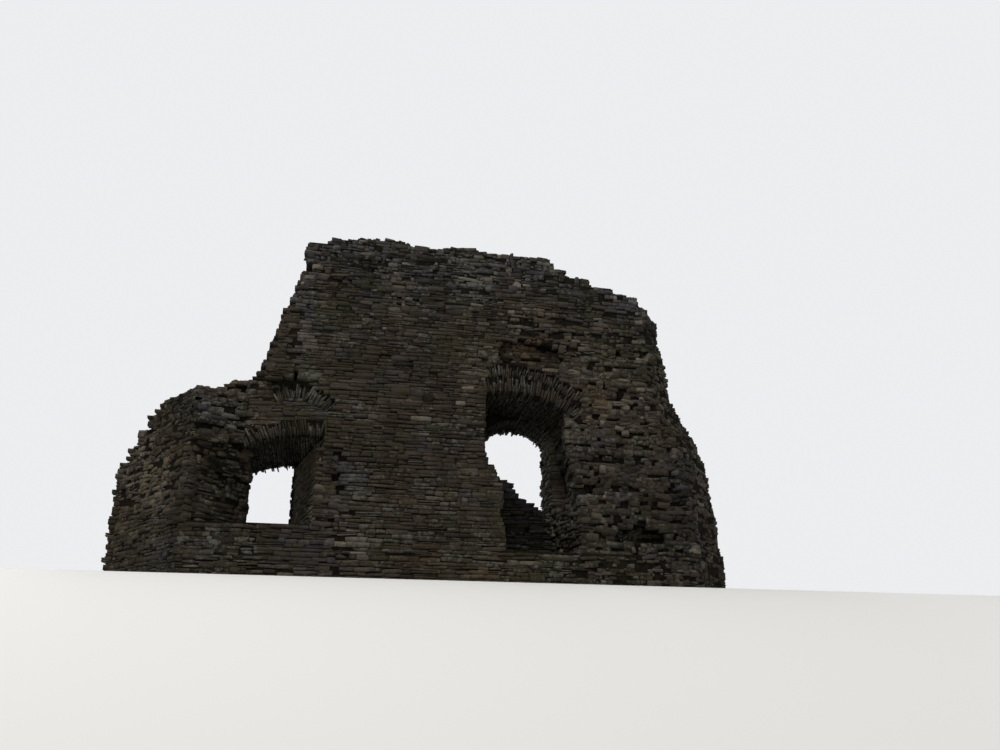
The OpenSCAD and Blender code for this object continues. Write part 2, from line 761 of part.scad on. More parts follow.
module east_core() {
    color([0.24, 0.21, 0.18]) difference() {
        lifts(base_height, z_east_top, function (z, i)
            let (x_end = east_front_end(z, i), x_side = east_reach(z, i))
            let (inner = facing_thickness * tan_half_cant)
            [
                [x_window_east + east_jamb_robbing
                    * lookup(z / window_crown_height, east_jamb_profile),
                 y_front + robbing(z)],
                [x_end - robbing(z) * tan_half_cant, y_front + robbing(z)],
                [x_end - inner, y_core_front],
                [x_side - facing_thickness, cant_side(z, i) + inner],
                [x_side - facing_thickness, y_core_rear],
                [reveal_line(z), y_core_rear], [reveal_line(z), y_window_stage]
            ]);
        window_haunch_sector(y_front - past, y_core_front);
        for (hole = core_hollows) {
            x = x_window_east + hole[0] * east_width;
            z = round(hole[1] * wall_height);
            block(x - hole[2] * slab_thickness / 2, x + hole[2] * slab_thickness / 2,
                y_front, y_front + robbed_depth + hollow_depth,
                z, z + hole[3] * slab_thickness);
        }
        translate([x_window_east + ledge_hollow_place[0] * east_width, 0,
            round(ledge_hollow_place[1] * wall_height)])
            through(y_front, y_front + robbed_depth + hollow_depth)
                intersection() {
                    translate([-ledge_hollow_width / 2, 0])
                        square([ledge_hollow_width, ledge_hollow_height]);
                    translate([0, ledge_hollow_height - ledge_hollow_width])
                        circle(r = ledge_hollow_width, $fn = arch_facets);
                }
    }
}

module east_cant_facing() {
    color([0.33, 0.29, 0.23])
        lifts(base_height, z_east_top, function (z, i)
            let (x_end = east_front_end(z, i), x_side = east_reach(z, i))
            let (inner = facing_thickness * tan_half_cant)
            [
                [x_end, y_front], [x_side, cant_side(z, i)], [x_side, y_core_rear],
                [x_side - facing_thickness, y_core_rear],
                [x_side - facing_thickness, cant_side(z, i) + inner],
                [x_end - inner, y_core_front]
            ]);
}

module east_rear_facing() {
    color([0.27, 0.25, 0.21])
        lifts(base_height, z_east_top - lift_height, function (z, i)
            face_plan(reveal_line(z), east_reach(z, i), y_rear, y_core_rear, i, 103));
}

// Loose top courses: blocks of uneven height in two rows, over the outer facing and the core
function head_top(x) = wall_height - head_height
    * lookup((x - x_door_east) / (middle_width + window_width), head_profile);

module uneven_head(x0, x1, z0, seed) {
    columns = max(2, round((x1 - x0) / head_block_length));
    column = round((x1 - x0) / columns);
    core_drop = 0.08 * head_height;
    rows = [[y_front, y_core_front, 0], [y_core_front, y_core_rear, core_drop]];
    for (i = [0 : columns - 1], j = [0, 1])
        block(x0 + i * column, i == columns - 1 ? x1 : x0 + (i + 1) * column,
            rows[j][0], rows[j][1], z0,
            round(head_top(x0 + (i + 0.5) * column) - rows[j][2] * (1 + 0.6 * random_at(i, seed))));
}

x_head_west = x_door_east - 0.4 * door_bay;
x_head_split = x_door_east + 0.3 * middle_width;
top_lift = lift_at(z_east_top) - 1;
x_head_east = east_front_end(level(top_lift + 0.5), top_lift);

module wall_head_west() {
    color([0.27, 0.25, 0.22]) uneven_head(x_head_west, x_head_split, z_head, 67);
}

module wall_head_middle() {
    color([0.28, 0.26, 0.22]) uneven_head(x_head_split, x_window_west, z_head, 71);
}

module wall_head_east() {
    color([0.27, 0.25, 0.22]) {
        uneven_head(x_window_west, x_window_east, z_head, 73);
        uneven_head(x_window_east, x_head_east, z_east_top, 79);
    }
}

west_base();
middle_base();
window_base();
east_base();
west_pier_facing();
west_pier_core();
west_pier_rear_facing();
door_west_jamb();
door_east_jamb();
door_threshold();
door_arch_slabs();
door_vault();
door_relieving_arch();
door_head_facing();
door_head_core();
door_head_rear_facing();
upper_west_facing();
upper_west_core();
upper_west_rear_facing();
middle_facing();
middle_core();
middle_rear_facing();
window_inner_ring();
window_outer_ring();
window_front_vault();
window_rear_arch();
window_west_jamb_foot();
window_rear_jamb();
window_breast_wall();
window_head_facing();
window_head_core();
window_head_rear_facing();
east_core();
east_cant_facing();
east_rear_facing();
wall_head_west();
wall_head_middle();
wall_head_east();
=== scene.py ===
"""Ruined castle keep wall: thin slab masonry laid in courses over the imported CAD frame.

Every upright face of the frame is cut by level planes, one to a course, and each line of
the cut is filled with stones. Arches get slabs on edge, and level ground gets loose stones.
Metres. X runs along the wall, Y runs into it from the outer face, Z is up.
"""

import math

import bmesh
import bpy
import numpy as np
from bpy.props import (
    FloatProperty,
    FloatVectorProperty,
    PointerProperty,
)
from mathutils import Matrix, Vector, noise
from mathutils.bvhtree import BVHTree


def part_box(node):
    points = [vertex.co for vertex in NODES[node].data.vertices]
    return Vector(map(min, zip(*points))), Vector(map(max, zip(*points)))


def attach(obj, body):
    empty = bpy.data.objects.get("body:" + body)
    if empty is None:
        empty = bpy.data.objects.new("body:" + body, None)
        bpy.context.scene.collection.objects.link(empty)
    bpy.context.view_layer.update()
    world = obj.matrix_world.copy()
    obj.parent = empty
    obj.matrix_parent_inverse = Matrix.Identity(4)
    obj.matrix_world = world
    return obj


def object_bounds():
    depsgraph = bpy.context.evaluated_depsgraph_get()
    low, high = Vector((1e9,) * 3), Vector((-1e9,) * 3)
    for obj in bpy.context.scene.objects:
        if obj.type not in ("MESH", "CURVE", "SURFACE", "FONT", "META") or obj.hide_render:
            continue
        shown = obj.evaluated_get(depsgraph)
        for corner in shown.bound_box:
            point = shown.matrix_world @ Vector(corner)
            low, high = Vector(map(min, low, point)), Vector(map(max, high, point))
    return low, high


bl_info = {
    "name": "Castle keep wall",
    "version": (1, 0, 0),
    "blender": (4, 5, 0),
    "location": "View3D > Sidebar > Keep",
    "description": "Dresses a ruined keep wall in slab masonry",
    "category": "Object",
}

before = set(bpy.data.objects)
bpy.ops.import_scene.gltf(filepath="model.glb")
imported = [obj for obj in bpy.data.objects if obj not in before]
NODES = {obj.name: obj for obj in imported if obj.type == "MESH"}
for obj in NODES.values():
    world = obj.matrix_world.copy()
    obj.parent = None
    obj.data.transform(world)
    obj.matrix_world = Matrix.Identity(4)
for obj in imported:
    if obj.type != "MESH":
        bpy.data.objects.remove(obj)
CAD_LOW, CAD_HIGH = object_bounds()
BODY = "root"

# Seeds of what is left to chance
SHAPE_SEED = 100
MASON_SEED = 4100
ARCH_SEED = 7200
BED_SEED = 11

# Planes and lines of the frame that the dressing needs
FRONT_Y = CAD_LOW.y
REAR_Y = CAD_HIGH.y
PIER_EAST_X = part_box("door_head_facing")[0].x
DOOR_EAST_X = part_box("middle_facing")[0].x
WINDOW_WEST_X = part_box("window_head_facing")[0].x
WINDOW_EAST_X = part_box("window_head_facing")[1].x
HAUNCH_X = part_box("window_inner_ring")[1].x
CORE_FRONT_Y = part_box("middle_core")[0].y
WINDOW_STAGE_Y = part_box("window_rear_arch")[0].y
WINDOW_CROWN_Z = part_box("window_inner_ring")[1].z
RELIEVING_OFFSET = 0.85
RELIEVING_ARCH_X = DOOR_EAST_X - RELIEVING_OFFSET


# Sizes and colours that a user would change


def length(name, description, default):
    return FloatProperty(name=name, description=description, default=default, unit="LENGTH")


def share(name, description, default):
    return FloatProperty(name=name, description=description, default=default, min=0, max=1)


def colour(name, description, default):
    return FloatVectorProperty(
        name=name, description=description, default=default, size=3, subtype="COLOR", min=0, max=1
    )


class MasonrySettings(bpy.types.PropertyGroup):
    """How the stones are laid."""

    course_height: length("Course", "Mean height of a course of slabs", 0.104)
    slab_length: length("Slab", "Mean length of a slab in sound masonry", 0.38)
    rubble_length: length("Rubble", "Mean length of a stone where the wall is robbed", 0.185)
    joint: length("Joint", "Height of an open joint between two courses", 0.018)
    projection: length("Projection", "How far a slab stands out of its mortar", 0.034)
    wave: length("Wave", "How far the courses rise and fall along the wall", 0.030)
    missing: share("Missing", "Share of the stones that have fallen out of robbed places", 0.11)
    split: share("Split", "Share of the slabs that are two thin ones", 0.25)


class StoneColours(bpy.types.PropertyGroup):
    """Colours of the stone and of what grows on it."""

    dark: colour("Dark stone", "Darkest slabs", (0.0105, 0.0088, 0.0066))
    mid: colour("Stone", "Most slabs", (0.0340, 0.0268, 0.0192))
    pale: colour("Pale stone", "Palest slabs", (0.116, 0.099, 0.076))
    cool: colour("Cool stone", "Grey slabs of the weathered places", (0.0355, 0.0325, 0.0340))
    rust: colour("Rust", "Iron-stained slabs", (0.042, 0.025, 0.016))
    ochre: colour("Ochre", "Yellowish slabs", (0.092, 0.067, 0.030))
    lichen: colour("Lichen", "Pale crust on the weathered faces", (0.095, 0.095, 0.078))
    moss: colour("Moss", "Growth along the joints and ledges", (0.023, 0.0225, 0.0095))
    # The mortar colour is earthy mortar darkened with painted shade, the depth of shadow in open
    # joints and holes.
    mortar: colour("Mortar", "Earthy mortar behind the slabs", (0.0085, 0.0070, 0.0054))


class StageSettings(bpy.types.PropertyGroup):
    """Floor and backdrop."""

    floor: colour("Floor", "Plain pale floor", (0.70, 0.69, 0.67))
    sky: colour("Backdrop", "What the camera sees behind the wall", (0.84, 0.85, 0.87))


def settings():
    return bpy.context.scene.keep_masonry


def colours():
    return bpy.context.scene.keep_colours


# Stone shapes: each is a few dozen faces about its own middle, with its face towards -Y

# Y of a slab's broken face, of its arrises and of the swelling in its middle
SLAB_FACE = (-0.5, -0.43)
SLAB_ARRIS = (-0.46, -0.38)
SLAB_SWELLING = (-0.54, -0.5)
# Points of a rough block, and its form: 1 gives a ball and 0 a cube
BLOCK_POINTS = 24
BLOCK_ROUNDNESS = 0.45


def hull_of(points):
    """The closed hull of some points, as arrays."""
    bm = bmesh.new()
    for point in points:
        bm.verts.new(point)
    made = bmesh.ops.convex_hull(bm, input=bm.verts)
    inner = [v for v in made["geom_interior"] if isinstance(v, bmesh.types.BMVert)]
    bmesh.ops.delete(bm, geom=inner, context="VERTS")
    bmesh.ops.recalc_face_normals(bm, faces=bm.faces)
    arrays = mesh_arrays(bm)
    bm.free()
    return arrays


def slab_stone(rng):
    """A split slab one unit each way: its face is broken and its ends differ in thickness."""
    points = []
    slope = rng.uniform(-0.1, 0.1)
    for sx in (-0.5, 0.5):
        thin = rng.uniform(0.72, 1.0)
        for sz in (-0.5, 0.5):
            level = sz * thin + slope * sx
            points.append((sx * rng.uniform(0.92, 1.0), rng.uniform(*SLAB_FACE), level * 0.96))
            points.append((sx, rng.uniform(*SLAB_ARRIS), level * rng.uniform(0.7, 1.0)))
            points.append((sx, 0.5, level))
    for sz in (-0.5, 0.5):
        for side in (-1, 1):
            spot = side * rng.uniform(0.12, 0.40)
            face = rng.uniform(*SLAB_FACE)
            points.append((spot, face, sz * rng.uniform(0.86, 1.0) + slope * spot))
    for _ in range(3):
        along, out = rng.uniform(-0.35, 0.35), rng.uniform(*SLAB_SWELLING)
        points.append((along, out, rng.uniform(-0.3, 0.3)))
    return hull_of(points)


def block_stone(rng):
    """A rough block one unit each way, worn at its corners."""
    points = []
    for _ in range(BLOCK_POINTS):
        way = Vector(rng.normal(0, 1, 3)).normalized()
        spot = Vector([math.copysign(abs(c) ** BLOCK_ROUNDNESS, c) for c in way]) * 0.5
        points.append(spot * rng.uniform(0.88, 1.06))
    return hull_of(points)


def mesh_arrays(bm):
    """Points, corner indices and corner counts of a bmesh."""
    bm.verts.index_update()
    points = np.array([v.co[:] for v in bm.verts])
    corners = np.array([v.index for f in bm.faces for v in f.verts])
    counts = np.array([len(f.verts) for f in bm.faces])
    return points, corners, counts


class StoneShapes:
    """Variants of each kind of stone, one unit each way."""

    VARIANTS = 16

    def __init__(self):
        rng = np.random.default_rng(SHAPE_SEED)
        self.slab = [slab_stone(rng) for _ in range(self.VARIANTS)]
        self.rubble = [block_stone(rng) for _ in range(self.VARIANTS)]
        self.upright = [self.turned(slab_stone(rng)) for _ in range(self.VARIANTS)]

    @staticmethod
    def turned(arrays):
        """The same slab stood on edge."""
        points, corners, counts = arrays
        return points[:, [2, 1, 0]] * (-1, 1, 1), corners, counts


# How far stones may stand proud of the faces, of the ends and of the top, and the box that
# this gives. They never reach under the foot.
PROUD = 0.048
END_PROUD = 2 * PROUD
TOP_PROUD = 3 * PROUD
REACH = (
    np.array((CAD_LOW.x - END_PROUD, FRONT_Y - PROUD, CAD_LOW.z)),
    np.array((CAD_HIGH.x + END_PROUD, REAR_Y + PROUD, CAD_HIGH.z + TOP_PROUD)),
)


class StoneHeap:
    """Collects placed stones and joins them into one mesh."""

    def __init__(self):
        self.points, self.corners, self.counts, self.tones = [], [], [], []
        self.total = 0

    def add(self, kind, rng, centre, axes, size, looks):
        """axes are the stone's own X, Y and Z in the wall; size is its length, depth, height."""
        points, corners, counts = kind[rng.integers(len(kind))]
        flip = rng.choice((-1, 1))
        if flip < 0:
            corners = corners[::-1]
            counts = counts[::-1]
        scale = np.array(size) * (flip, 1, 1)
        self.points.append((points * scale) @ np.array(axes) + np.array(centre))
        self.corners.append(corners + self.total)
        self.counts.append(counts)
        self.tones.append(np.tile((*looks, 1.0), (len(points), 1)))
        self.total += len(points)

    def make(self, name, material, slot):
        if not self.points:
            raise ValueError(f"{name} has no stones")
        points = np.clip(np.concatenate(self.points), *REACH)
        counts = np.concatenate(self.counts)
        corners = np.concatenate(self.corners)
        mesh = bpy.data.meshes.new(name)
        mesh.vertices.add(len(points))
        mesh.vertices.foreach_set("co", points.ravel())
        mesh.loops.add(len(corners))
        mesh.loops.foreach_set("vertex_index", corners)
        mesh.polygons.add(len(counts))
        mesh.polygons.foreach_set("loop_start", np.cumsum(counts) - counts)
        mesh.update(calc_edges=True)
        looks = mesh.attributes.new("stone", "FLOAT_COLOR", "POINT")
        looks.data.foreach_set("color", np.concatenate(self.tones).ravel())
        mesh.validate()
        piece = bpy.data.objects.new(name, mesh)
        bpy.context.scene.collection.objects.link(piece)
        mesh.materials.append(material)
        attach(piece, BODY)
        return piece


# The frame as triangles, and what a level cut through it leaves in the open


class Frame:
    """All solids of the frame: a tree for rays, and level cuts."""

    # Metres between the places where a face is tested, and how far out of it a test is made
    SAMPLE = 0.05
    CLEAR = 0.012
    # Z of a normal above which a face counts as level
    STEEP = 0.7
    # A shorter line of a cut is left out, and a smaller triangle has no direction
    SHORT = 1e-4
    TINY = 1e-12
    # Where plumb lines start, and how far they go
    SKY_Z = CAD_HIGH.z + 1
    FAR = 20

    def __init__(self):
        self.names = sorted(NODES)
        points, triangles, owners = [], [], []
        for index, name in enumerate(self.names):
            mesh = NODES[name].data
            mesh.calc_loop_triangles()
            base = len(points)
            points.extend(v.co[:] for v in mesh.vertices)
            for t in mesh.loop_triangles:
                triangles.append([base + i for i in t.vertices])
                owners.append(index)
        self.tree = BVHTree.FromPolygons(points, triangles, all_triangles=True)
        self.owners = np.array(owners)
        self.corners = np.array(points)[np.array(triangles)]
        edge_a = self.corners[:, 1] - self.corners[:, 0]
        edge_b = self.corners[:, 2] - self.corners[:, 0]
        normals = np.cross(edge_a, edge_b)
        size = np.linalg.norm(normals, axis=1, keepdims=True)
        self.normals = normals / np.maximum(size, self.TINY)

    def hit(self, origin, direction, reach):
        """(point, normal, node name) of what a ray meets, or None."""
        point, normal, index, _ = self.tree.ray_cast(Vector(origin), Vector(direction), reach)
        if point is None:
            return None
        return point, normal, self.names[self.owners[index]]

    def ground(self, x, y):
        """What a plumb line from above meets first."""
        return self.hit((x, y, self.SKY_Z), (0, 0, -1), self.FAR)

    def cut(self, z):
        """Lines where a level plane meets the solids: ends, outward normal, owner."""
        heights = self.corners[:, :, 2] - z
        above = heights > 0
        rows = np.nonzero(above.any(1) & ~above.all(1))[0]
        ends = []
        for row in rows:
            corners, height = self.corners[row], heights[row]
            found = []
            for i in range(3):
                j = (i + 1) % 3
                if (height[i] > 0) != (height[j] > 0):
                    part = height[i] / (height[i] - height[j])
                    found.append(corners[i, :2] + part * (corners[j, :2] - corners[i, :2]))
            ends.append(found)
        return np.array(ends), self.normals[rows], self.owners[rows]

    @staticmethod
    def covered(points, ends, owners):
        """True where a point lies inside any solid of the cut."""
        inside = np.zeros(len(points), bool)
        for owner in np.unique(owners):
            a, b = ends[owners == owner, 0], ends[owners == owner, 1]
            rise = (a[:, 1] > points[:, 1:2]) != (b[:, 1] > points[:, 1:2])
            with np.errstate(divide="ignore", invalid="ignore"):
                part = (points[:, 1:2] - a[:, 1]) / (b[:, 1] - a[:, 1])
                x = a[:, 0] + part * (b[:, 0] - a[:, 0])
            crossings = (rise & (points[:, 0:1] < x)).sum(1)
            inside |= crossings % 2 == 1
        return inside

    def runs(self, z):
        """Straight runs of open upright face at one height."""
        ends, normals, owners = self.cut(z)
        if not len(ends):
            return []
        lines = {}
        for (a, b), normal, owner in zip(ends, normals, owners):
            if abs(normal[2]) > self.STEEP or np.linalg.norm(b - a) < self.SHORT:
                continue
            normal = normal[:2] / np.linalg.norm(normal[:2])
            along = np.array((-normal[1], normal[0]))
            offset = float(a @ normal)
            key = (round(normal[0], 2), round(normal[1], 2), round(offset, 2))
            lines.setdefault(key, []).append((a @ along, b @ along, owner, normal, offset))
        runs = {}
        for key, parts in lines.items():
            runs.setdefault(key[:2], []).extend(self.open_runs(z, parts, ends, owners))
        joined = [run for group in runs.values() for run in self.joined(group)]
        for run in joined:
            run.find_ends(ends, owners)
        return joined

    @staticmethod
    def joined(runs):
        """Joins runs end to end where one only stands a little proud of the next."""
        done = []
        for run in sorted(runs, key=lambda r: r.start):
            last = done[-1] if done else None
            if last and last.meets(run):
                last.extend(run)
            else:
                done.append(run)
        return done

    def open_runs(self, z, parts, ends, owners):
        """The open stretches of the parts that lie on one line."""
        _, _, _, normal, offset = parts[0]
        along = np.array((-normal[1], normal[0]))
        low = min(min(p[0], p[1]) for p in parts)
        high = max(max(p[0], p[1]) for p in parts)
        count = max(1, math.ceil((high - low) / self.SAMPLE))
        step = (high - low) / count
        middle = low + (np.arange(count) + 0.5) * step
        owner = np.full(count, -1)
        for s0, s1, who, _, _ in parts:
            owner[(middle >= min(s0, s1)) & (middle <= max(s0, s1))] = who
        spots = middle[:, None] * along + (offset + self.CLEAR) * normal
        is_open = (owner >= 0) & ~self.covered(spots, ends, owners)
        runs = []
        start = None
        for i in range(count + 1):
            if i < count and is_open[i]:
                start = i if start is None else start
            elif start is not None:
                edges = low + np.arange(start, i + 1) * step
                offsets = np.full(i - start, offset)
                runs.append(Run(z, along, normal, edges, offsets, owner[start:i]))
                start = None
        return runs


class Run:
    """One stretch of open face in a course, whose lengths may stand proud of one another."""

    # Widest gap and step between two runs that are laid as one
    STEP = 0.06
    # How far past an end or a face a test is made
    PROBE = 0.03
    # Part of a normal that counts as straight, and the part that counts as outwards at all
    STRAIGHT = 0.9
    OUTWARD = 0.3

    def __init__(self, z, along, normal, edges, offsets, owners):
        self.z, self.along, self.normal = z, along, normal
        self.edges, self.offsets, self.owners = edges, offsets, owners

    @property
    def start(self):
        return self.edges[0]

    @property
    def end(self):
        return self.edges[-1]

    def meets(self, other):
        """Does the other run go on where this one ends?"""
        gap = abs(other.start - self.end)
        return gap < self.STEP and abs(other.offsets[0] - self.offsets[-1]) < self.STEP

    def extend(self, other):
        self.edges = np.concatenate((self.edges[:-1], other.edges))
        self.offsets = np.concatenate((self.offsets, other.offsets))
        self.owners = np.concatenate((self.owners, other.owners))

    def index(self, s):
        found = int(np.searchsorted(self.edges, s, "right")) - 1
        return min(max(found, 0), len(self.owners) - 1)

    def face(self, s, half=0.0):
        """How far out the face lies at most between s - half and s + half."""
        return float(self.offsets[self.index(s - half) : self.index(s + half) + 1].max())

    def place(self, s, out=0.0, half=0.0):
        """The point s along the run and out from its face."""
        flat = s * self.along + (self.face(s, half) + out) * self.normal
        return Vector((flat[0], flat[1], self.z))

    def node(self, s):
        return int(self.owners[self.index(s)])

    def find_ends(self, ends, owners):
        """An end is free where nothing stands beyond it."""
        beyond = [
            s * self.along + (self.face(s) - self.PROBE) * self.normal
            for s in (self.start - self.PROBE, self.end + self.PROBE)
        ]
        inner = Frame.covered(np.array(beyond), ends, owners)
        self.free_start, self.free_end = not inner[0], not inner[1]

    def axes(self):
        """Rows: along the face, into the wall, up."""
        return np.array(
            ((self.along[0], self.along[1], 0), (-self.normal[0], -self.normal[1], 0), (0, 0, 1))
        )

    @property
    def is_front(self):
        """Does this face look straight out, as the outer face does?"""
        return self.normal[1] < -self.STRAIGHT

    @property
    def is_outside(self):
        """Does this face look outwards, straight or canted?"""
        return self.normal[1] < -self.OUTWARD

    @property
    def is_side(self):
        """Does this face look along the wall, or at an angle to it?"""
        return abs(self.normal[1]) < self.STRAIGHT


# Height and depth of the broken lifts that debris lies on, and how far under a ledge the riser
# below it is looked for
LIFT = 0.35
LEDGE = 0.4
UNDER_LEDGE = 0.02
# Length of the rougher masonry at a broken end
BROKEN_ZONE = 0.6
# How far the window's east reveal is robbed in the frame, at most
REVEAL_ROBBING = 0.5


def ledge_fill(solids, spot, out):
    """How far debris on the ledge below carries a broken end outwards."""
    out = Vector((*out, 0.0))
    down = solids.hit(spot + out * Run.PROBE, (0, 0, -1), LIFT)
    if down is None or down[1].z < Frame.STEEP:
        return 0.0
    height = spot.z - down[0].z
    probe = 1.5 * LEDGE
    outer = Vector(down[0]) + out * probe
    outer.z -= UNDER_LEDGE
    riser = solids.hit(outer, -out, probe)
    if riser is None or riser[1].dot(out) < Run.OUTWARD:
        return 0.0
    width = probe - (riser[0] - outer).length
    return max(0.0, min(width, LEDGE) * (1 - height / LIFT))


# Nodes that carry slabs on edge; all others are laid in courses
ARCH_NODES = (
    "door_arch_slabs",
    "door_relieving_arch",
    "door_vault",
    "window_inner_ring",
    "window_outer_ring",
    "window_front_vault",
    "window_rear_arch",
)
COURSED_NODES = tuple(name for name in NODES if name not in ARCH_NODES)
# Nodes whose ledges keep little debris, and the width that it has there
CLEAN_LEDGES = ("middle_facing", "middle_core", "window_rear_jamb", "window_west_jamb_foot")
CLEAN_WIDTH = 0.08
# Slot names by a word of a node's name
SLOTS = {
    "base": "foundation_masonry",
    "facing": "facing_masonry",
    "core": "core_rubble",
    "jamb": "jamb_masonry",
    "foot": "jamb_masonry",
    "threshold": "jamb_masonry",
    "breast": "jamb_masonry",
    "head": "wall_head_rubble",
}


def slot_of(name):
    """The slot of the last word of the name that has one."""
    for word in reversed(name.split("_")):
        if word in SLOTS:
            return SLOTS[word]
    raise KeyError(name)


# Soft patches of the outer face: middle in X and Z, radii, added tone, added warmth
FACE_PATCHES = (
    (-2.0, 7.3, 0.50, 1.00, -0.20, -0.15),
    (-0.3, 7.1, 0.50, 1.50, -0.25, -0.12),
    (-0.7, 4.2, 2.40, 2.60, -0.09, 0.04),
    (7.2, 3.6, 0.80, 2.40, 0.08, -0.06),
    (-4.6, 4.2, 0.80, 0.60, 0.07, 0.10),
    (1.4, 7.4, 0.40, 0.75, -0.18, -0.08),
    (-1.2, 7.3, 0.22, 0.95, 0.16, 0.05),
    (-0.1, 5.0, 0.50, 0.40, -0.03, 0.22),
    (4.4, 5.6, 1.10, 1.30, 0.12, 0.10),
    (2.4, 7.1, 0.85, 0.35, 0.10, 0.25),
    (2.5, 6.1, 0.95, 0.42, -0.20, 0.50),
    (4.0, 4.85, 0.45, 0.32, 0.06, 0.28),
    (6.3, 2.6, 0.70, 1.80, -0.10, -0.10),
    (5.0, 2.0, 1.20, 1.20, -0.12, 0.05),
    (-5.2, 3.0, 0.60, 1.30, -0.14, 0.10),
    (-3.45, 6.6, 0.42, 1.40, 0.26, -0.26),
    (-5.55, 4.05, 0.80, 0.50, -0.15, -0.18),
    (-7.0, 2.4, 0.80, 1.30, 0.28, 0.40),
)

# Stones of the outer face that catch the eye: X, Z, length, height, tone, warmth
MARKED_STONES = (
    (-3.96, 3.82, 0.42, 0.13, 0.78, 0.75),
    (-2.83, 4.90, 0.46, 0.19, 0.86, 0.15),
    (-3.30, 4.95, 0.36, 0.18, 0.66, 0.25),
    (-2.05, 3.73, 0.16, 0.14, 1.00, 0.10),
    (-3.04, 6.95, 0.20, 0.16, 1.00, 0.10),
    (-3.42, 7.12, 0.24, 0.17, 0.85, 0.00),
    (-1.43, 8.80, 0.36, 0.12, 0.80, 0.30),
    (-1.10, 6.85, 0.30, 0.18, 0.85, 0.15),
    (-1.00, 6.45, 0.26, 0.16, 0.70, 0.10),
    (-4.63, 3.10, 0.34, 0.21, 0.56, 0.30),
    (-4.66, 2.82, 0.30, 0.19, 0.48, 0.25),
    (-4.62, 2.55, 0.34, 0.20, 0.52, 0.30),
    (3.92, 1.14, 0.22, 0.20, 0.85, 0.35),
    (3.98, 0.94, 0.18, 0.16, 0.75, 0.35),
    (3.38, 5.77, 0.28, 0.20, 0.85, 0.45),
    (4.40, 5.96, 0.24, 0.20, 0.95, 0.10),
    (3.80, 4.95, 0.40, 0.20, 0.62, 0.66),
    (4.15, 4.86, 0.36, 0.18, 0.68, 0.62),
    (1.10, 3.24, 0.40, 0.09, 0.35, 0.30),
    (RELIEVING_ARCH_X + 0.10, 5.19, 0.42, 0.17, 0.42, 0.30),
)


def soft(value, low, high):
    """0 below low, 1 above high, and smooth between."""
    t = min(max((value - low) / (high - low), 0.0), 1.0)
    return t * t * (3 - 2 * t)


# Lowest and highest course, as shares of the mean one
BED_SPREAD = (0.74, 1.30)


def ladder(z0, z1, pitch):
    """Levels of the beds between courses of uneven height."""
    rng = np.random.default_rng(BED_SEED)
    levels = [z0]
    while levels[-1] < z1:
        levels.append(levels[-1] + pitch * rng.uniform(*BED_SPREAD))
    return levels


def tilted(axes, rng, spread):
    """The axes of a stone turned a little at random about each of them."""
    turn = (
        Matrix.Rotation(rng.normal(0, spread[0]), 3, "X")
        @ Matrix.Rotation(rng.normal(0, spread[1]), 3, "Y")
        @ Matrix.Rotation(rng.normal(0, spread[2]), 3, "Z")
    )
    return np.array(turn.transposed()) @ axes


# Waves of the courses per metre, and their shares of the height of the wave
LONG_WAVE, LONG_SHARE = 0.35, 1.3
SHORT_WAVE, SHORT_SHARE = 1.9, 0.9


def course_wave(spot):
    """How far the courses rise or fall at a place."""
    long = LONG_SHARE * noise.noise(spot * LONG_WAVE)
    return settings().wave * (long + SHORT_SHARE * noise.noise(spot * SHORT_WAVE))


def face_patch(x, z):
    """Added tone and warmth at a place of the outer face."""
    tone = warmth = 0.0
    for px, pz, rx, rz, more_tone, more_warmth in FACE_PATCHES:
        near = math.exp(-(((x - px) / rx) ** 2) - ((z - pz) / rz) ** 2)
        tone += more_tone * near
        warmth += more_warmth * near
    return tone, warmth


# Stones inside the openings: Y that they lie behind, X from and to, added tone, added warmth.
# The doorway's east reveal comes first, its lift partly paler tan slabs and partly painted light;
# then the window's east reveal, whose lift is painted sunlight; then the breast wall.
INSIDE_TONES_AND_PAINTED_LIGHT = (
    (CORE_FRONT_Y, DOOR_EAST_X - 0.7, DOOR_EAST_X + 0.2, 0.42, 0.20),
    (WINDOW_STAGE_Y - 0.1, WINDOW_EAST_X - 0.1, WINDOW_EAST_X + REVEAL_ROBBING, 0.50, 0.12),
    (WINDOW_STAGE_Y - 0.1, WINDOW_WEST_X, WINDOW_EAST_X, -0.10, -0.30),
)
INSIDE_REAR_Y = REAR_Y - 0.12
INSIDE_TOP_Z = WINDOW_CROWN_Z - 0.5


def inside_tone_and_painted_light(spot):
    """Added tone and warmth inside the openings, from the first patch that holds the place.

    On the east reveals the added tone is painted light.
    """
    if spot.y < INSIDE_REAR_Y and spot.z < INSIDE_TOP_Z:
        for front, west, east, more_tone, more_warmth in INSIDE_TONES_AND_PAINTED_LIGHT:
            if spot.y > front and west < spot.x < east:
                return more_tone, more_warmth
    return 0.0, 0.0


# Mean looks of a stone. Tone goes from 0, dark, to 1, pale; warmth from 0, grey, to 1, ochre.
MEAN_TONE = 0.46
MEAN_WARMTH = 0.33
TONE_SPREAD = 0.085
WARMTH_SPREAD = 0.10
# Soft changes of tone and of warmth over the wall, the broad ones first: how fast each changes
# along a metre, and how strong it is
TONE_WAVES = ((0.55, 0.18), (2.1, 0.20))
WARMTH_WAVES = ((0.4, 0.25), (1.3, 0.30))
# What weathering adds towards the top, and the heights between which it sets in
WEATHERED_TONE = -0.08
WEATHERED_WARMTH = -0.34
WEATHERED_ZONE = (CAD_HIGH.z - 2.2, CAD_HIGH.z - 0.4)
# Share of odd pale stones, what weathering adds to it, and how much paler and greyer they are
PALE_SHARE = 0.025
PALE_WEATHERED = 0.07
PALER = (0.15, 0.45)
GREYER = 0.1


def wave_at(spot, wave, apart=(0, 0, 0)):
    """A soft change over the wall; apart keeps it from following another one."""
    often, strong = wave
    return noise.noise(spot * often + Vector(apart)) * strong


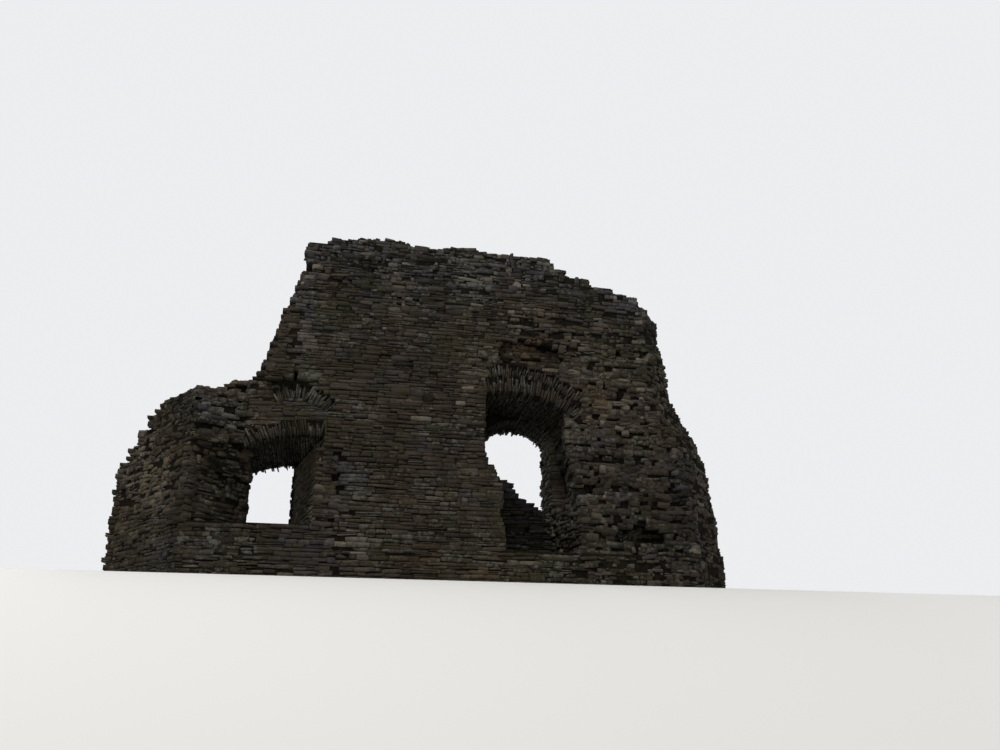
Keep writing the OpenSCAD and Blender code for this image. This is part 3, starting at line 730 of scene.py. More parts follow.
def stone_looks(rng, spot, on_face=False, spread=TONE_SPREAD, lift=0.0):
    """Tone, warmth and growth of one stone, from chance and from where it lies."""
    spot = Vector(spot)
    tone = MEAN_TONE + lift + wave_at(spot, TONE_WAVES[0]) + wave_at(spot, TONE_WAVES[1])
    tone += rng.normal(0, spread)
    warmth = MEAN_WARMTH + wave_at(spot, WARMTH_WAVES[0], (9, 0, 0))
    warmth += wave_at(spot, WARMTH_WAVES[1], (0, 0, 40)) + rng.normal(0, WARMTH_SPREAD)
    weathered = soft(spot.z, *WEATHERED_ZONE)
    warmth += WEATHERED_WARMTH * weathered
    tone += WEATHERED_TONE * weathered
    if rng.random() < PALE_SHARE + PALE_WEATHERED * weathered:
        tone += rng.uniform(*PALER)
        warmth -= GREYER
    patches = [face_patch(spot.x, spot.z)] if on_face else []
    # Inside the openings this adds painted light on the east reveals, besides tone.
    patches.append(inside_tone_and_painted_light(spot))
    for more_tone, more_warmth in patches:
        tone += more_tone
        warmth += more_warmth
    growth = rng.random()
    return min(max(tone, 0.0), 1.0), min(max(warmth, 0.0), 1.0), growth


# Zones of the outer face: where each edge comes in or fades out. The strip is the robbed face
# east of the doorway.
EAST_ZONE = (WINDOW_EAST_X - 0.55, WINDOW_EAST_X + 0.45)
EAST_TOP = (6.9, 7.9)
OVER_WINDOW_WEST = (WINDOW_WEST_X, WINDOW_WEST_X + 0.5)
OVER_WINDOW_FOOT = (5.5, 6.0)
OVER_WINDOW_TOP = (6.9, 7.5)
HEAD_ZONE = (CAD_HIGH.z - 2.0, CAD_HIGH.z - 0.7)
PIER_FOOT = (1.6, 2.6)
STRIP_WEST = (DOOR_EAST_X - 0.1, DOOR_EAST_X)
STRIP_EAST = (-2.35, -2.2)
STRIP_TOP = (3.1, 3.5)
# The west zone and the pier's: X of the edge where each sets in, and the width of the change
WEST_EDGE, WEST_WIDTH = DOOR_EAST_X - 0.3, 0.7
PIER_EDGE, PIER_WIDTH = PIER_EAST_X + 0.2, 0.4
# How rough the zones are, and how much sounder the east one gets towards its top
OVER_WINDOW_ROUGH = 0.8
HEAD_ROUGH = 0.95
WEST_ROUGH = 0.4
PIER_ROUGH = 0.45
STRIP_ROUGH = 0.6
EAST_TOP_SOUNDER = 0.45
# How far the edges of the zones wander
WANDER = 0.35


def robbed_share(x, z):
    """How rough the outer face is: 0 where it is coursed, 1 where its stones are robbed."""
    wander = WANDER * noise.noise(Vector((x * 0.7, 3.0, z * 0.7)))
    east = soft(x + wander, *EAST_ZONE)
    east *= 1.0 - EAST_TOP_SOUNDER * soft(z + wander, *EAST_TOP)
    over_window = OVER_WINDOW_ROUGH * soft(x, *OVER_WINDOW_WEST) * soft(z, *OVER_WINDOW_FOOT)
    over_window *= 1.0 - soft(z, *OVER_WINDOW_TOP)
    head = HEAD_ROUGH * soft(z + wander, *HEAD_ZONE)
    west = WEST_ROUGH * soft(WEST_EDGE - x + wander, 0.0, WEST_WIDTH)
    pier = PIER_ROUGH * soft(PIER_EDGE - x + wander, 0.0, PIER_WIDTH)
    west += pier * soft(z + wander, *PIER_FOOT)
    strip = STRIP_ROUGH * soft(x, *STRIP_WEST) * (1 - soft(x, *STRIP_EAST))
    strip *= 1 - soft(z, *STRIP_TOP)
    return max(east, over_window, head, west, strip)


# Holes of the robbed face: size of the cells, each of which holds one at most, share of the
# cells without one, half width and half height with what chance adds, and the highest Z
HOLE_CELL = (0.50, 0.38)
NO_HOLE = 0.25
HOLE_WIDE = (0.10, 0.11)
HOLE_TALL = (0.055, 0.065)
HOLE_TOP_Z = CAD_HIGH.z - 1.3


def in_hole(x, z):
    """Is this place inside one of the holes of the robbed face?"""
    column, row = math.floor(x / HOLE_CELL[0]), math.floor(z / HOLE_CELL[1])
    chance = noise.cell_vector(Vector((column + 0.5, row + 0.5, 7.5)))
    more = noise.cell_vector(Vector((column + 0.5, row + 0.5, 31.5)))
    if chance[2] < NO_HOLE or z > HOLE_TOP_Z:
        return False
    centre_x = (column + 0.25 + 0.5 * chance[0]) * HOLE_CELL[0]
    centre_z = (row + 0.25 + 0.5 * chance[1]) * HOLE_CELL[1]
    wide = HOLE_WIDE[0] + HOLE_WIDE[1] * more[0]
    tall = HOLE_TALL[0] + HOLE_TALL[1] * more[1]
    return ((x - centre_x) / wide) ** 2 + ((z - centre_z) / tall) ** 2 < 1


# The hollow over the relieving arch: middle of its foot, half width there, and height
HOLLOW = (RELIEVING_ARCH_X, 4.80, 0.27, 0.46)


def in_hollow(x, z):
    """Is this place inside the three-cornered hollow where stones fell from the relieving arch?"""
    middle, foot, half, tall = HOLLOW
    rise = (z - foot) / tall
    return 0 < rise < 1 and abs(x - middle) < half * (1 - rise)


# Level cuts keep this far off the corners of the frame, most of which lie on whole millimetres
OFF_CORNER = 0.00017
# Two ends nearer than this are one, and a stone is placed this far inside its stretch
NEAR = 1e-6
INSET = 0.01
# Shortest stretch that gets stones, shortest course on it, and shortest last stone of a course
LEAST_STRETCH = 0.03
LEAST_COURSE = 0.1
LEAST_LAST = 0.12
# Mean and spread of the logarithm of a stone's length, as a share of the mean length, and the
# longest stone
LENGTH_SPREAD = (-0.08, 0.42)
LONGEST = 2.4
# Roughness of dressed, of coursed and of crumbled masonry
DRESSED = 0.1
COURSED = 0.2
CRUMBLED = 0.8
# Roughness above which the outer face has holes, and above which its stones stand proud
HOLED = 0.5
ROBBED = 0.45
# Share of the stones that are missing everywhere
SOUND_MISSING = 0.005
# Depth of a stone in the wall, and the least that it stands out
STONE_DEPTH = 0.2
LEAST_OUT = 0.015
# How far the proud stones of a robbed face stand out, how far that swells, and its chance
ROBBED_OUT = 0.095
ROBBED_SWELL = 0.05
ROBBED_CHANCE = (-0.04, 0.03)
# The same for the flat stones behind them
PACKING_OUT = 0.06
PACKING_SWELL = 0.03
PACKING_CHANCE = (-0.015, 0.02)
# Width of the seam that is left between two stones of a course
SEAM = 0.004
# Depth of a stone that catches the eye, and how far it stands out
MARKED_DEPTH = 0.24
MARKED_OUT = 0.032
# How far the last stones run past a broken end, past a sound one, and stop short of either
RAGGED_END = 0.11
SOUND_END = 0.05
SHORT_END = -0.015
# How far a stone stands out and how wide its joint is, as shares of those that are typical
OUT_SPREAD = (0.55, 1.35)
JOINT_SPREAD = (-0.5, 1.5)
# How much smaller joints, and how much rarer split slabs, get with roughness
ROUGH_LESS = 0.7
# Chance of a tall stone, what roughness adds to it, its height in courses and its length at most
TALL_CHANCE = 0.03
TALL_ROUGH = 0.05
TALL_COURSES = 1.8
TALL_LONG = 0.5
# Shortest and lowest stone
LEAST_LONG = 0.05
LEAST_TALL = 0.03
# Room in front of a face that lets its stones stand proud, and that keeps them straight
WIDE_ROOM = 0.1
TIGHT_ROOM = 0.08


class Mason:
    """Lays stones over the frame and keeps a heap for each node."""

    def __init__(self, solids, shapes):
        self.solids, self.shapes = solids, shapes
        self.heaps = {}
        self.rng = np.random.default_rng(MASON_SEED)

    def heap(self, name):
        return self.heaps.setdefault(name, StoneHeap())

    def lay_all(self):
        beds = ladder(0.0, CAD_HIGH.z, settings().course_height)
        coursed = {self.solids.names.index(n) for n in COURSED_NODES}
        for low, high in zip(beds, beds[1:]):
            for run in self.solids.runs((low + high) / 2 + OFF_CORNER):
                for s0, s1 in self.stretches(run, coursed):
                    self.lay(run, s0, s1, low, high)

    def stretches(self, run, wanted):
        """The parts of a run that belong to the wanted nodes."""
        mine = np.array([owner in wanted for owner in run.owners])
        first = 0
        for i in range(1, len(mine) + 1):
            if i == len(mine) or mine[i] != mine[first]:
                if mine[first]:
                    yield run.edges[first], run.edges[i]
                first = i

    def roughness(self, run, s):
        """How rough the masonry is at a place of a run, from 0 to 1."""
        spot = run.place(s)
        if run.is_outside:
            return robbed_share(spot.x, spot.z)
        name = self.solids.names[run.node(s)]
        if name == "door_east_jamb" or spot.y > WINDOW_STAGE_Y:
            return DRESSED
        if "core" in name or "jamb" in name or "breast" in name:
            return CRUMBLED
        return COURSED

    def lay(self, run, s0, s1, low, high):
        """Fills one stretch of a course with stones."""
        values, rng = settings(), self.rng
        at_start = run.free_start and s0 <= run.start + NEAR
        at_end = run.free_end and s1 >= run.end - NEAR
        start = s0 - self.end_reach(run, s0, at_start, -1)
        end = s1 + self.end_reach(run, s1, at_end, 1)
        if s1 - s0 < LEAST_STRETCH or end - start < LEAST_COURSE:
            return
        s = start
        while s < end - LEAST_STRETCH:
            rough = self.roughness(run, min(max(s, s0), s1))
            if run.z > WINDOW_CROWN_Z:
                rough = max(rough, self.broken_share(run, s))
            mean = values.slab_length + (values.rubble_length - values.slab_length) * rough
            stone = mean * min(math.exp(rng.normal(*LENGTH_SPREAD)), LONGEST)
            if end - (s + stone) < LEAST_LAST:
                stone = end - s
            middle = min(max(s + stone / 2, s0 + INSET), s1 - INSET)
            spot = run.place(middle)
            gone = run.is_outside and rough > HOLED and in_hole(spot.x, spot.z)
            gone = gone or run.is_front and in_hollow(spot.x, spot.z)
            if not gone and rng.random() > SOUND_MISSING + values.missing * rough * rough:
                self.set_stone(run, middle, s + stone / 2, stone, low, high, rough)
            s += stone

    def set_stone(self, run, middle, s, stone, low, high, rough):
        """One stone of a course, or two thin ones."""
        values, rng = settings(), self.rng
        name = self.solids.names[run.node(middle)]
        fill = self.fill(run, middle, run.normal) if run.is_side else 0.0
        fill = max(fill, self.reveal_fill(run.place(middle), run.normal))
        half = min(stone / 2, 0.3)
        room = END_PROUD if run.is_side else abs(FRONT_Y) + PROUD - run.face(middle, half)
        out = values.projection * rng.uniform(*OUT_SPREAD)
        height = high - low
        looks_spread = TONE_SPREAD + 0.06 * rough
        if rough > ROBBED and room > WIDE_ROOM:
            swell = noise.noise(Vector((s, run.z, 5.0)) * 1.2)
            out = ROBBED_OUT + ROBBED_SWELL * swell + rng.uniform(*ROBBED_CHANCE)
            self.set_packing(run, s, half, stone, height, name)
        elif room < TIGHT_ROOM:
            rough *= 0.5
        out = max(LEAST_OUT, min(out, room - SEAM))
        depth = STONE_DEPTH + out + fill
        bed = values.joint * rng.uniform(*JOINT_SPREAD) * (1 - ROUGH_LESS * rough)
        layers = 1
        thin_run = noise.noise(Vector((s * 0.9, run.z * 3.0, 21.0)))
        if rng.random() < (values.split + 0.9 * thin_run) * (1 - ROUGH_LESS * rough):
            layers = 2
        elif rng.random() < TALL_CHANCE + TALL_ROUGH * rough:
            height *= TALL_COURSES
            stone = min(stone, TALL_LONG)
        spread = (0.03 + 0.08 * rough, 0.024 + 0.08 * rough, 0.02 + 0.09 * rough)
        for layer in range(layers):
            tall = height / layers * rng.uniform(0.86, 1.22 + 0.15 * rough)
            centre = run.place(s, 0.0, half)
            centre += Vector((*run.normal, 0)) * (out + fill - depth / 2)
            centre.z += (layer + 0.5) / layers * height - height / 2
            centre.z += course_wave(centre) + rng.normal(0, 0.007 + 0.010 * rough)
            kind = self.shapes.rubble if rng.random() < 0.45 * rough else self.shapes.slab
            looks = stone_looks(rng, centre, run.is_outside, looks_spread)
            long = (stone - SEAM) * (1 + 0.16 * rough)
            size = (max(long, LEAST_LONG), depth, max(tall - bed, LEAST_TALL))
            axes = tilted(run.axes(), rng, spread)
            self.heap(name).add(kind, rng, centre, axes, size, looks)
            out = max(LEAST_OUT, out - rng.uniform(0, 0.012))

    @staticmethod
    def broken_share(run, s):
        """How rough the upper masonry gets towards its broken ends."""
        gap = min(
            s - run.start if run.free_start else BROKEN_ZONE,
            run.end - s if run.free_end else BROKEN_ZONE,
        )
        return CRUMBLED * (1 - soft(gap, 0.3 * BROKEN_ZONE, BROKEN_ZONE))

    def set_packing(self, run, s, half, stone, height, name):
        """A flat stone that closes the wall behind a proud stone of a robbed face."""
        rng = self.rng
        swell = noise.noise(Vector((s, run.z, 61.0)) * 1.5)
        out = PACKING_OUT + PACKING_SWELL * swell + rng.uniform(*PACKING_CHANCE)
        centre = run.place(s, out - STONE_DEPTH / 2, half)
        centre.z += course_wave(centre)
        size = (stone * 1.2, STONE_DEPTH, height * 1.35)
        looks = stone_looks(rng, centre, on_face=True, spread=0.05, lift=-0.02)
        axes = tilted(run.axes(), rng, (0.05, 0.04, 0.05))
        self.heap(name).add(self.shapes.slab, rng, centre, axes, size, looks)

    def fill(self, run, s, out):
        """Debris on a ledge, which is thin inside the window."""
        width = 0.7 * ledge_fill(self.solids, run.place(s), out)
        if self.solids.names[run.node(s)] in CLEAN_LEDGES:
            return min(width, CLEAN_WIDTH)
        return width

    def reveal_fill(self, spot, normal):
        """The east reveal behind the embrasure keeps the line of its own jamb."""
        if normal[0] > -Run.STRAIGHT or spot.z > WINDOW_CROWN_Z:
            return 0.0
        if spot.y < WINDOW_STAGE_Y - 0.02:
            return 0.0
        if not 0 < spot.x - WINDOW_EAST_X < REVEAL_ROBBING:
            return 0.0
        return max(0.0, spot.x - WINDOW_EAST_X - self.rng.uniform(0.0, 0.06))

    def end_reach(self, run, s, free, sign):
        """How far the last stone runs past the end of the face."""
        if not free:
            return 0.0
        spot = run.place(s)
        filled = self.reveal_fill(spot, sign * run.along)
        if filled:
            return filled
        broken = spot.z > WINDOW_CROWN_Z or abs(spot.x) > -PIER_EAST_X
        ragged = RAGGED_END if broken else SOUND_END
        return self.fill(run, s, sign * run.along) + self.rng.uniform(SHORT_END, ragged)

    def lay_marked(self):
        """Sets the stones that catch the eye, a little proud of their neighbours."""
        for x, z, long, tall, tone, warmth in MARKED_STONES:
            seen = self.solids.hit((x, FRONT_Y - 1, z), (0, 1, 0), 2.5)
            if seen is None or seen[1].y > -0.7:
                raise ValueError(f"no outer face for the marked stone at {x}, {z}")
            point, _, name = seen
            out = min(MARKED_OUT, point.y - FRONT_Y + MARKED_OUT)
            centre = Vector((x, point.y - out + MARKED_DEPTH / 2, z))
            looks = (tone, warmth, 0.3)
            axes = tilted(np.eye(3), self.rng, (0.02, 0.03, 0.02))
            size = (long, MARKED_DEPTH, tall)
            home = name if name in COURSED_NODES else "middle_facing"
            self.heap(home).add(self.shapes.rubble, self.rng, centre, axes, size, looks)

    def make_pieces(self, material):
        """One piece of joined stones for each node that has any."""
        for name in COURSED_NODES:
            if name in self.heaps:
                self.heaps.pop(name).make(f"{name}_stones", material, slot_of(name))


# Arches: slabs on edge


class Arch:
    """A ring of slabs on edge: centre and radius of its underside, and length of its slabs."""

    def __init__(self, x, crown_z, radius, slab):
        self.x, self.z, self.radius, self.slab = x, crown_z - radius, radius, slab

    def angle(self, x_line):
        """Angle from +X, in degrees, at which the middle of the ring meets a plumb line."""
        return math.degrees(math.acos((x_line - self.x) / (self.radius + self.slab / 2)))

    def outer(self, slab):
        """The ring that lies on the back of this one."""
        return Arch(self.x, self.z + self.radius + self.slab, self.radius + self.slab, slab)


# Lengths of the slabs of the rings, and the arches that they stand on
DOOR_SLAB = 0.36
WINDOW_INNER_SLAB = 0.40
WINDOW_OUTER_SLAB = 0.32
DOOR_ARCH = Arch(
    x=DOOR_EAST_X - 0.60,
    crown_z=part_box("door_arch_slabs")[1].z - DOOR_SLAB,
    radius=3.20,
    slab=DOOR_SLAB,
)
RELIEVING_ARCH = Arch(x=RELIEVING_ARCH_X, crown_z=4.42, radius=1.08, slab=0.37)
WINDOW_ARCH = Arch(
    x=WINDOW_WEST_X + 0.71,
    crown_z=WINDOW_CROWN_Z - WINDOW_INNER_SLAB,
    radius=2.53,
    slab=WINDOW_INNER_SLAB,
)
# Angles from +X, in degrees, between which the relieving arch survives, and those between
# which the ring at the rear of the window runs
RELIEVING_SPAN = (43, 112)
REAR_SPAN = (46, 136)
# Length of the inner arch's node that lies west of its springing
INNER_JAMB = 0.31


def rear_arch():
    """The inner arch of the window: its radius follows from its span and rise."""
    low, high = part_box("window_rear_arch")
    crown = high.z - WINDOW_INNER_SLAB
    span = high.x - low.x - INNER_JAMB
    rise = crown - low.z
    radius = (span * span / 4 + rise * rise) / (2 * rise)
    return Arch(high.x - span / 2, crown, radius, WINDOW_INNER_SLAB)


# Mean thickness of the slabs on edge with their joint, their depth in the wall, how far they
# stand proud of the rear, and the depth of those under the vaults
SLAB_PITCH = 0.056
RING_DEPTH = 0.4
REAR_PROUD = 0.036
SOFFIT_DEPTH = 0.18
# Angles from +X, in degrees, between which rays look for the underside of a vault, and Z of a
# normal under which a face counts as one
SOFFIT_SPAN = (15, 165)
SOFFIT_NORMAL = -0.3
# Slabs of a ring: thickness as a share of SLAB_PITCH, length as a share of the arch's slab, how
# far the foot reaches in past the line of the ring, and how far the slab stands out of the face
RING_THICK = (0.55, 1.45)
RING_LONG = (0.5, 1.2)
RING_FOOT = (-0.02, 0.045)
RING_OUT = (0.0, 0.044)
# How they lean from their rays, in radians: by chance, and in a slow drift along the ring
RING_LEAN = 0.085
RING_DRIFT = 0.28
# Their tone and warmth beside those of the wall, and the spread of the tone
RING_TONE = -0.07
RING_WARMTH = -0.16
RING_SPREAD = 0.14
# Slabs under a vault: thickness as a share of SLAB_PITCH, length, the room at the end of a row
# that stays empty, the room that the slab before it takes up too, and how far off y1 that one ends
SOFFIT_THICK = (0.7, 1.4)
SOFFIT_LONG = (0.25, 0.6)
SOFFIT_LEAST = 0.05
SOFFIT_LAST = 0.15
SOFFIT_END = (-0.04, 0.04)
# How far they hang out of the vault, how much more at most in the reach next to y1, and the gaps
SOFFIT_HANG = (0.0, 0.035)
SOFFIT_BROKEN = 0.14
BROKEN_REACH = 0.1
SOFFIT_GAP = 0.02
SOFFIT_JOINT = 0.012
# Their tone beside that of the wall, darker as painted shade under the vaults, and its spread
SOFFIT_PAINTED_SHADE = -0.12
SOFFIT_SPREAD = 0.12
# How far the face over the doorway lies back at its west end
DOOR_SETBACK = 0.35


def ray_at(angle):
    """The direction in the plane of the wall at an angle from +X."""
    return Vector((math.cos(angle), 0, math.sin(angle)))


def door_face(x):
    """The broken face over the doorway lies further back towards the west."""
    return FRONT_Y + DOOR_SETBACK * max(0.0, DOOR_EAST_X - x) / (DOOR_EAST_X - PIER_EAST_X)


def plain_face(x):
    """The outer face, which lies in one plane."""
    return FRONT_Y


def rear_face(x):
    """Where the slabs of a rear ring start, so that they end a little proud of the rear face."""
    return REAR_Y + REAR_PROUD - RING_DEPTH


def lay_ring(heap, shapes, rng, arch, start, end, face):
    """Slabs on edge round an arch, from one angle to another in degrees."""
    angle = math.radians(start)
    end = math.radians(end)
    while angle < end:
        thick = SLAB_PITCH * rng.uniform(*RING_THICK)
        turn = thick / (arch.radius + arch.slab / 2)
        middle = angle + turn / 2
        drift = RING_DRIFT * noise.noise(Vector((middle * 3.0, arch.radius, arch.x)))
        tilt = middle + drift + rng.normal(0, RING_LEAN)
        out = ray_at(tilt)
        side = Vector((math.sin(tilt), 0, -math.cos(tilt)))
        reach = arch.slab * rng.uniform(*RING_LONG)
        spot = ray_at(middle) * (arch.radius - rng.uniform(*RING_FOOT) + reach / 2)
        spot += Vector((arch.x, 0, arch.z))
        spot.y = face(spot.x) - rng.uniform(*RING_OUT) + RING_DEPTH / 2
        axes = tilted(np.array((side, (0, 1, 0), out)), rng, (0.03, 0.03, 0.05))
        size = (thick * rng.uniform(0.8, 1.05) - SEAM, RING_DEPTH, reach)
        tone, warmth, growth = stone_looks(rng, spot, True, RING_SPREAD, RING_TONE)
        looks = (tone, max(0.0, warmth + RING_WARMTH), growth)
        heap.add(shapes.upright, rng, spot, axes, size, looks)
        angle += turn


def lay_soffit(heap, solids, shapes, rng, x, z, reach, y0, y1, nodes):
    """Slabs on edge under a vault, in rows that run into the wall from y0 to y1."""
    angle, end = (math.radians(a) for a in SOFFIT_SPAN)
    while angle < end:
        thick = SLAB_PITCH * rng.uniform(*SOFFIT_THICK)
        ray = ray_at(angle)
        y = y0
        away = reach
        while y < y1 - SOFFIT_LEAST:
            run = rng.uniform(*SOFFIT_LONG)
            if y1 - (y + run) < SOFFIT_LAST:
                run = y1 - y + rng.uniform(*SOFFIT_END)
            eye = Vector((x, y + run / 2, z))
            seen = solids.hit(eye, ray, 2 * reach)
            if seen and seen[1].z < SOFFIT_NORMAL and seen[2] in nodes:
                point, normal, _ = seen
                away = (point - eye).length
                inward = -normal
                across = inward.cross(Vector((0, 1, 0)))
                drop = rng.uniform(*SOFFIT_HANG)
                if y + run > y1 - BROKEN_REACH:
                    drop += SOFFIT_BROKEN * rng.random() ** 2
                centre = point + inward * (SOFFIT_DEPTH / 2 - drop)
                axes = tilted(np.array(((0, 1, 0), inward, -across)), rng, (0.03, 0.03, 0.03))
                # The slabs under the vaults are darkened: painted shade.
                looks = stone_looks(rng, centre, False, SOFFIT_SPREAD, SOFFIT_PAINTED_SHADE)
                size = (run - SOFFIT_GAP, SOFFIT_DEPTH, thick - SOFFIT_JOINT)
                heap.add(shapes.slab, rng, centre, axes, size, looks)
            y += run
        angle += thick / away


# Loose stones on the level places of the ruin: their spacing, lengths, widths and heights, the
# share that carries a second one, how much smaller that is, and the share that is slabs
TOP_SPACING = 0.19
TOP_SIZES = ((0.13, 0.36), (0.12, 0.26), (0.05, 0.13))
SECOND_SHARE = 0.35
SECOND_SMALLER = 0.35
SLAB_SHARE = 0.6


def stands(solids, corner, level):
    """Is there ground near this level under the corner?"""
    seen = solids.ground(corner.x, corner.y)
    return seen is not None and abs(seen[0].z - level) < LIFT


def lay_tops(mason):
    """Loose stones on every level place that looks at the sky, some on top of others."""
    solids, rng, shapes = mason.solids, mason.rng, mason.shapes
    heap = StoneHeap()
    x = CAD_LOW.x
    while x < CAD_HIGH.x:
        y = FRONT_Y
        while y < REAR_Y:
            px, py = x + rng.uniform(0, TOP_SPACING), y + rng.uniform(0, TOP_SPACING)
            y += TOP_SPACING
            seen = solids.ground(px, py)
            if seen is None or seen[1].z < Frame.STEEP:
                continue
            spot = seen[0]
            layers = 1 + (rng.random() < SECOND_SHARE)
            for layer in range(layers):
                less = 1 - SECOND_SMALLER * layer
                size = [rng.uniform(*limits) * less for limits in TOP_SIZES]
                yaw = rng.uniform(0, math.pi)
                ahead = Vector((math.cos(yaw), math.sin(yaw), 0))
                across = Vector((-ahead.y, ahead.x, 0))
                corners = [
                    spot + ahead * (a * size[0] / 2) + across * (b * size[1] / 2)
                    for a in (-1, 1)
                    for b in (-1, 1)
                ]
                if any(not stands(solids, c, spot.z) for c in corners):
                    break
                axes = tilted(np.array((ahead, (0, 0, -1), across)), rng, (0.14, 0.06, 0.14))
                centre = spot + Vector((0, 0, size[2] * rng.uniform(0.0, 0.4)))
                looks = stone_looks(rng, centre, spread=0.14)
                kind = shapes.slab if rng.random() < SLAB_SHARE else shapes.rubble
                heap.add(kind, rng, centre, axes, (size[0], size[2], size[1]), looks)
                spot = spot + Vector((0, 0, size[2] * 0.7))
        x += TOP_SPACING
    return heap


# Broken tops of the wall and of the breast wall: X and Z of their outlines
HEAD_OUTLINE = (
    (-3.61, 8.50), (-3.26, 8.70), (-2.88, 8.88), (-2.25, 8.92), (-1.84, 8.84), (-1.45, 9.02),
    (-0.96, 9.02), (-0.65, 8.80), (-0.25, 8.86), (0.38, 8.94), (0.80, 9.02), (1.11, 8.80),
    (1.75, 8.88), (2.83, 8.82), (3.11, 8.60), (3.85, 8.37), (4.48, 8.15), (5.08, 7.99),
    (5.51, 7.85), (5.73, 7.62),
)
BREAST_OUTLINE = (
    (1.52, 3.36), (1.98, 3.11), (2.31, 2.96), (2.42, 2.77), (2.59, 2.61), (2.89, 2.34),
    (3.11, 2.24), (3.38, 2.15),
)
# How far under its outline a broken top is looked for, how far over it, and the highest pile
PILE_REACH = 0.7
PILE_OVER = 0.4
PILE_HEIGHT = 0.34
# Widths, depths and heights of the stones of a pile, a gap too low for one, and how much the
# outline falls at most from one stone to the next behind it
PILE_WIDE = (0.10, 0.24)
PILE_DEEP = (0.18, 0.34)
PILE_TALL = (0.05, 0.11)
PILE_GAP = 0.03
PILE_FALL = 0.03


def lay_pile(mason, heap, outline, y0, y1):
    """Stones laid on a broken top until they reach its outline, lower towards the rear."""
    rng = mason.rng
    xs, zs = zip(*outline)
    x = xs[0]
    while x < xs[-1]:
        long = rng.uniform(*PILE_WIDE)
        middle = x + long / 2
        target = float(np.interp(middle, xs, zs)) + rng.uniform(-0.04, 0.04)
        y = y0
        while y < y1:
            deep = rng.uniform(*PILE_DEEP)
            start = (middle, y + deep / 2, target + PILE_OVER)
            seen = mason.solids.hit(start, (0, 0, -1), PILE_REACH + PILE_OVER)
            top = seen[0].z if seen and seen[1].z > Frame.STEEP else target
            level = min(target, top + PILE_HEIGHT)
            while top < level - PILE_GAP:
                tall = min(rng.uniform(*PILE_TALL), level - top + 0.02)
                centre = Vector((middle, y + deep / 2, top + tall / 2 - 0.005))
                axes = tilted(np.eye(3), rng, (0.05, 0.05, 0.12))
                size = (long * rng.uniform(0.95, 1.6), deep * 1.15, tall * 1.15)
                looks = stone_looks(rng, centre)
                slab = rng.random() < SLAB_SHARE
                kind = mason.shapes.slab if slab else mason.shapes.rubble
                heap.add(kind, rng, centre, axes, size, looks)
                top += tall
            target -= rng.uniform(0.0, PILE_FALL)
            y += deep
        x += long


# Materials


def new_group(name, inputs, outputs):
    """A shader node group with its sockets, and its input and output nodes."""
    group = bpy.data.node_groups.new(name, "ShaderNodeTree")
    kinds = {"value": "NodeSocketFloat", "colour": "NodeSocketColor", "vector": "NodeSocketVector"}
    for label, kind, default in inputs:
        socket = group.interface.new_socket(label, in_out="INPUT", socket_type=kinds[kind])
        if default is not None:
            socket.default_value = default
    for label, kind in outputs:
        group.interface.new_socket(label, in_out="OUTPUT", socket_type=kinds[kind])
    return group, group.nodes.new("NodeGroupInput"), group.nodes.new("NodeGroupOutput")


def node(tree, kind, inputs=None, **attributes):
    """A new node with its attributes set, and its inputs linked or set."""
    made = tree.nodes.new(kind)
    for key, value in attributes.items():
        setattr(made, key, value)
    for key, value in (inputs or {}).items():
        if isinstance(value, bpy.types.NodeSocket):
            tree.links.new(value, made.inputs[key])
        else:
            made.inputs[key].default_value = value
    return made


def maths(tree, operation, a, b, clamp=False):
    made = node(tree, "ShaderNodeMath", {0: a, 1: b}, operation=operation, use_clamp=clamp)
    return made.outputs[0]


def blend(tree, part, a, b, mode="MIX"):
    made = node(tree, "ShaderNodeMix", data_type="RGBA", blend_type=mode)
    sockets = {"Factor": made.inputs[0], "A": made.inputs[6], "B": made.inputs[7]}
    for key, value in (("Factor", part), ("A", a), ("B", b)):
        if isinstance(value, bpy.types.NodeSocket):
            tree.links.new(value, sockets[key])
        else:
            sockets[key].default_value = value
    return made.outputs[2]


def ramp(tree, value, low, high):
    """0 below low, 1 above high, and smooth between."""
    made = node(
        tree,
        "ShaderNodeMapRange",
        {"Value": value, "From Min": low, "From Max": high},
        interpolation_type="SMOOTHSTEP",
    )
    return made.outputs[0]


def noise_at(tree, vector, scale, detail=4.0, rough=0.6, stretch=None):
    if stretch:
        vector = node(tree, "ShaderNodeMapping", {"Vector": vector, "Scale": stretch}).outputs[0]
    made = node(
        tree,
        "ShaderNodeTexNoise",
        {"Vector": vector, "Scale": scale, "Detail": detail, "Roughness": rough},
    )
    return made.outputs["Fac"]


def grey(tree, value):
    """A colour with the same value in each channel."""
    return node(tree, "ShaderNodeCombineColor", {0: value, 1: value, 2: value}).outputs[0]


def rgba(value):
    return (*value, 1.0)


def add(tree, a, b, clamp=False):
    return maths(tree, "ADD", a, b, clamp)


def times(tree, a, b):
    return maths(tree, "MULTIPLY", a, b)


def coat(tree, body, mask, most, colour):
    """Lays a colour over the body where the mask is, and hides at most that share of it."""
    return blend(tree, times(tree, mask, most), body, rgba(colour))


def new_material(name):
    """A material with its node tree and its shader."""
    material = bpy.data.materials.new(name)
    material.use_nodes = True
    tree = material.node_tree
    return material, tree, tree.nodes["Principled BSDF"]


def split_grain_group():
    """Layered grain of split stone: dark and light bands, and their relief."""
    group, start, end = new_group(
        "split_grain", [("Vector", "vector", None)], [("Value", "value"), ("Height", "value")]
    )
    vector = start.outputs["Vector"]
    fine = noise_at(group, vector, scale=32.0, detail=5.0, rough=0.7)
    bands = noise_at(group, vector, scale=8.0, rough=0.65, stretch=(1.0, 1.0, 5.0))
    mixed = times(group, add(group, fine, bands), 0.5)
    group.links.new(mixed, end.inputs["Value"])
    group.links.new(mixed, end.inputs["Height"])
    return group


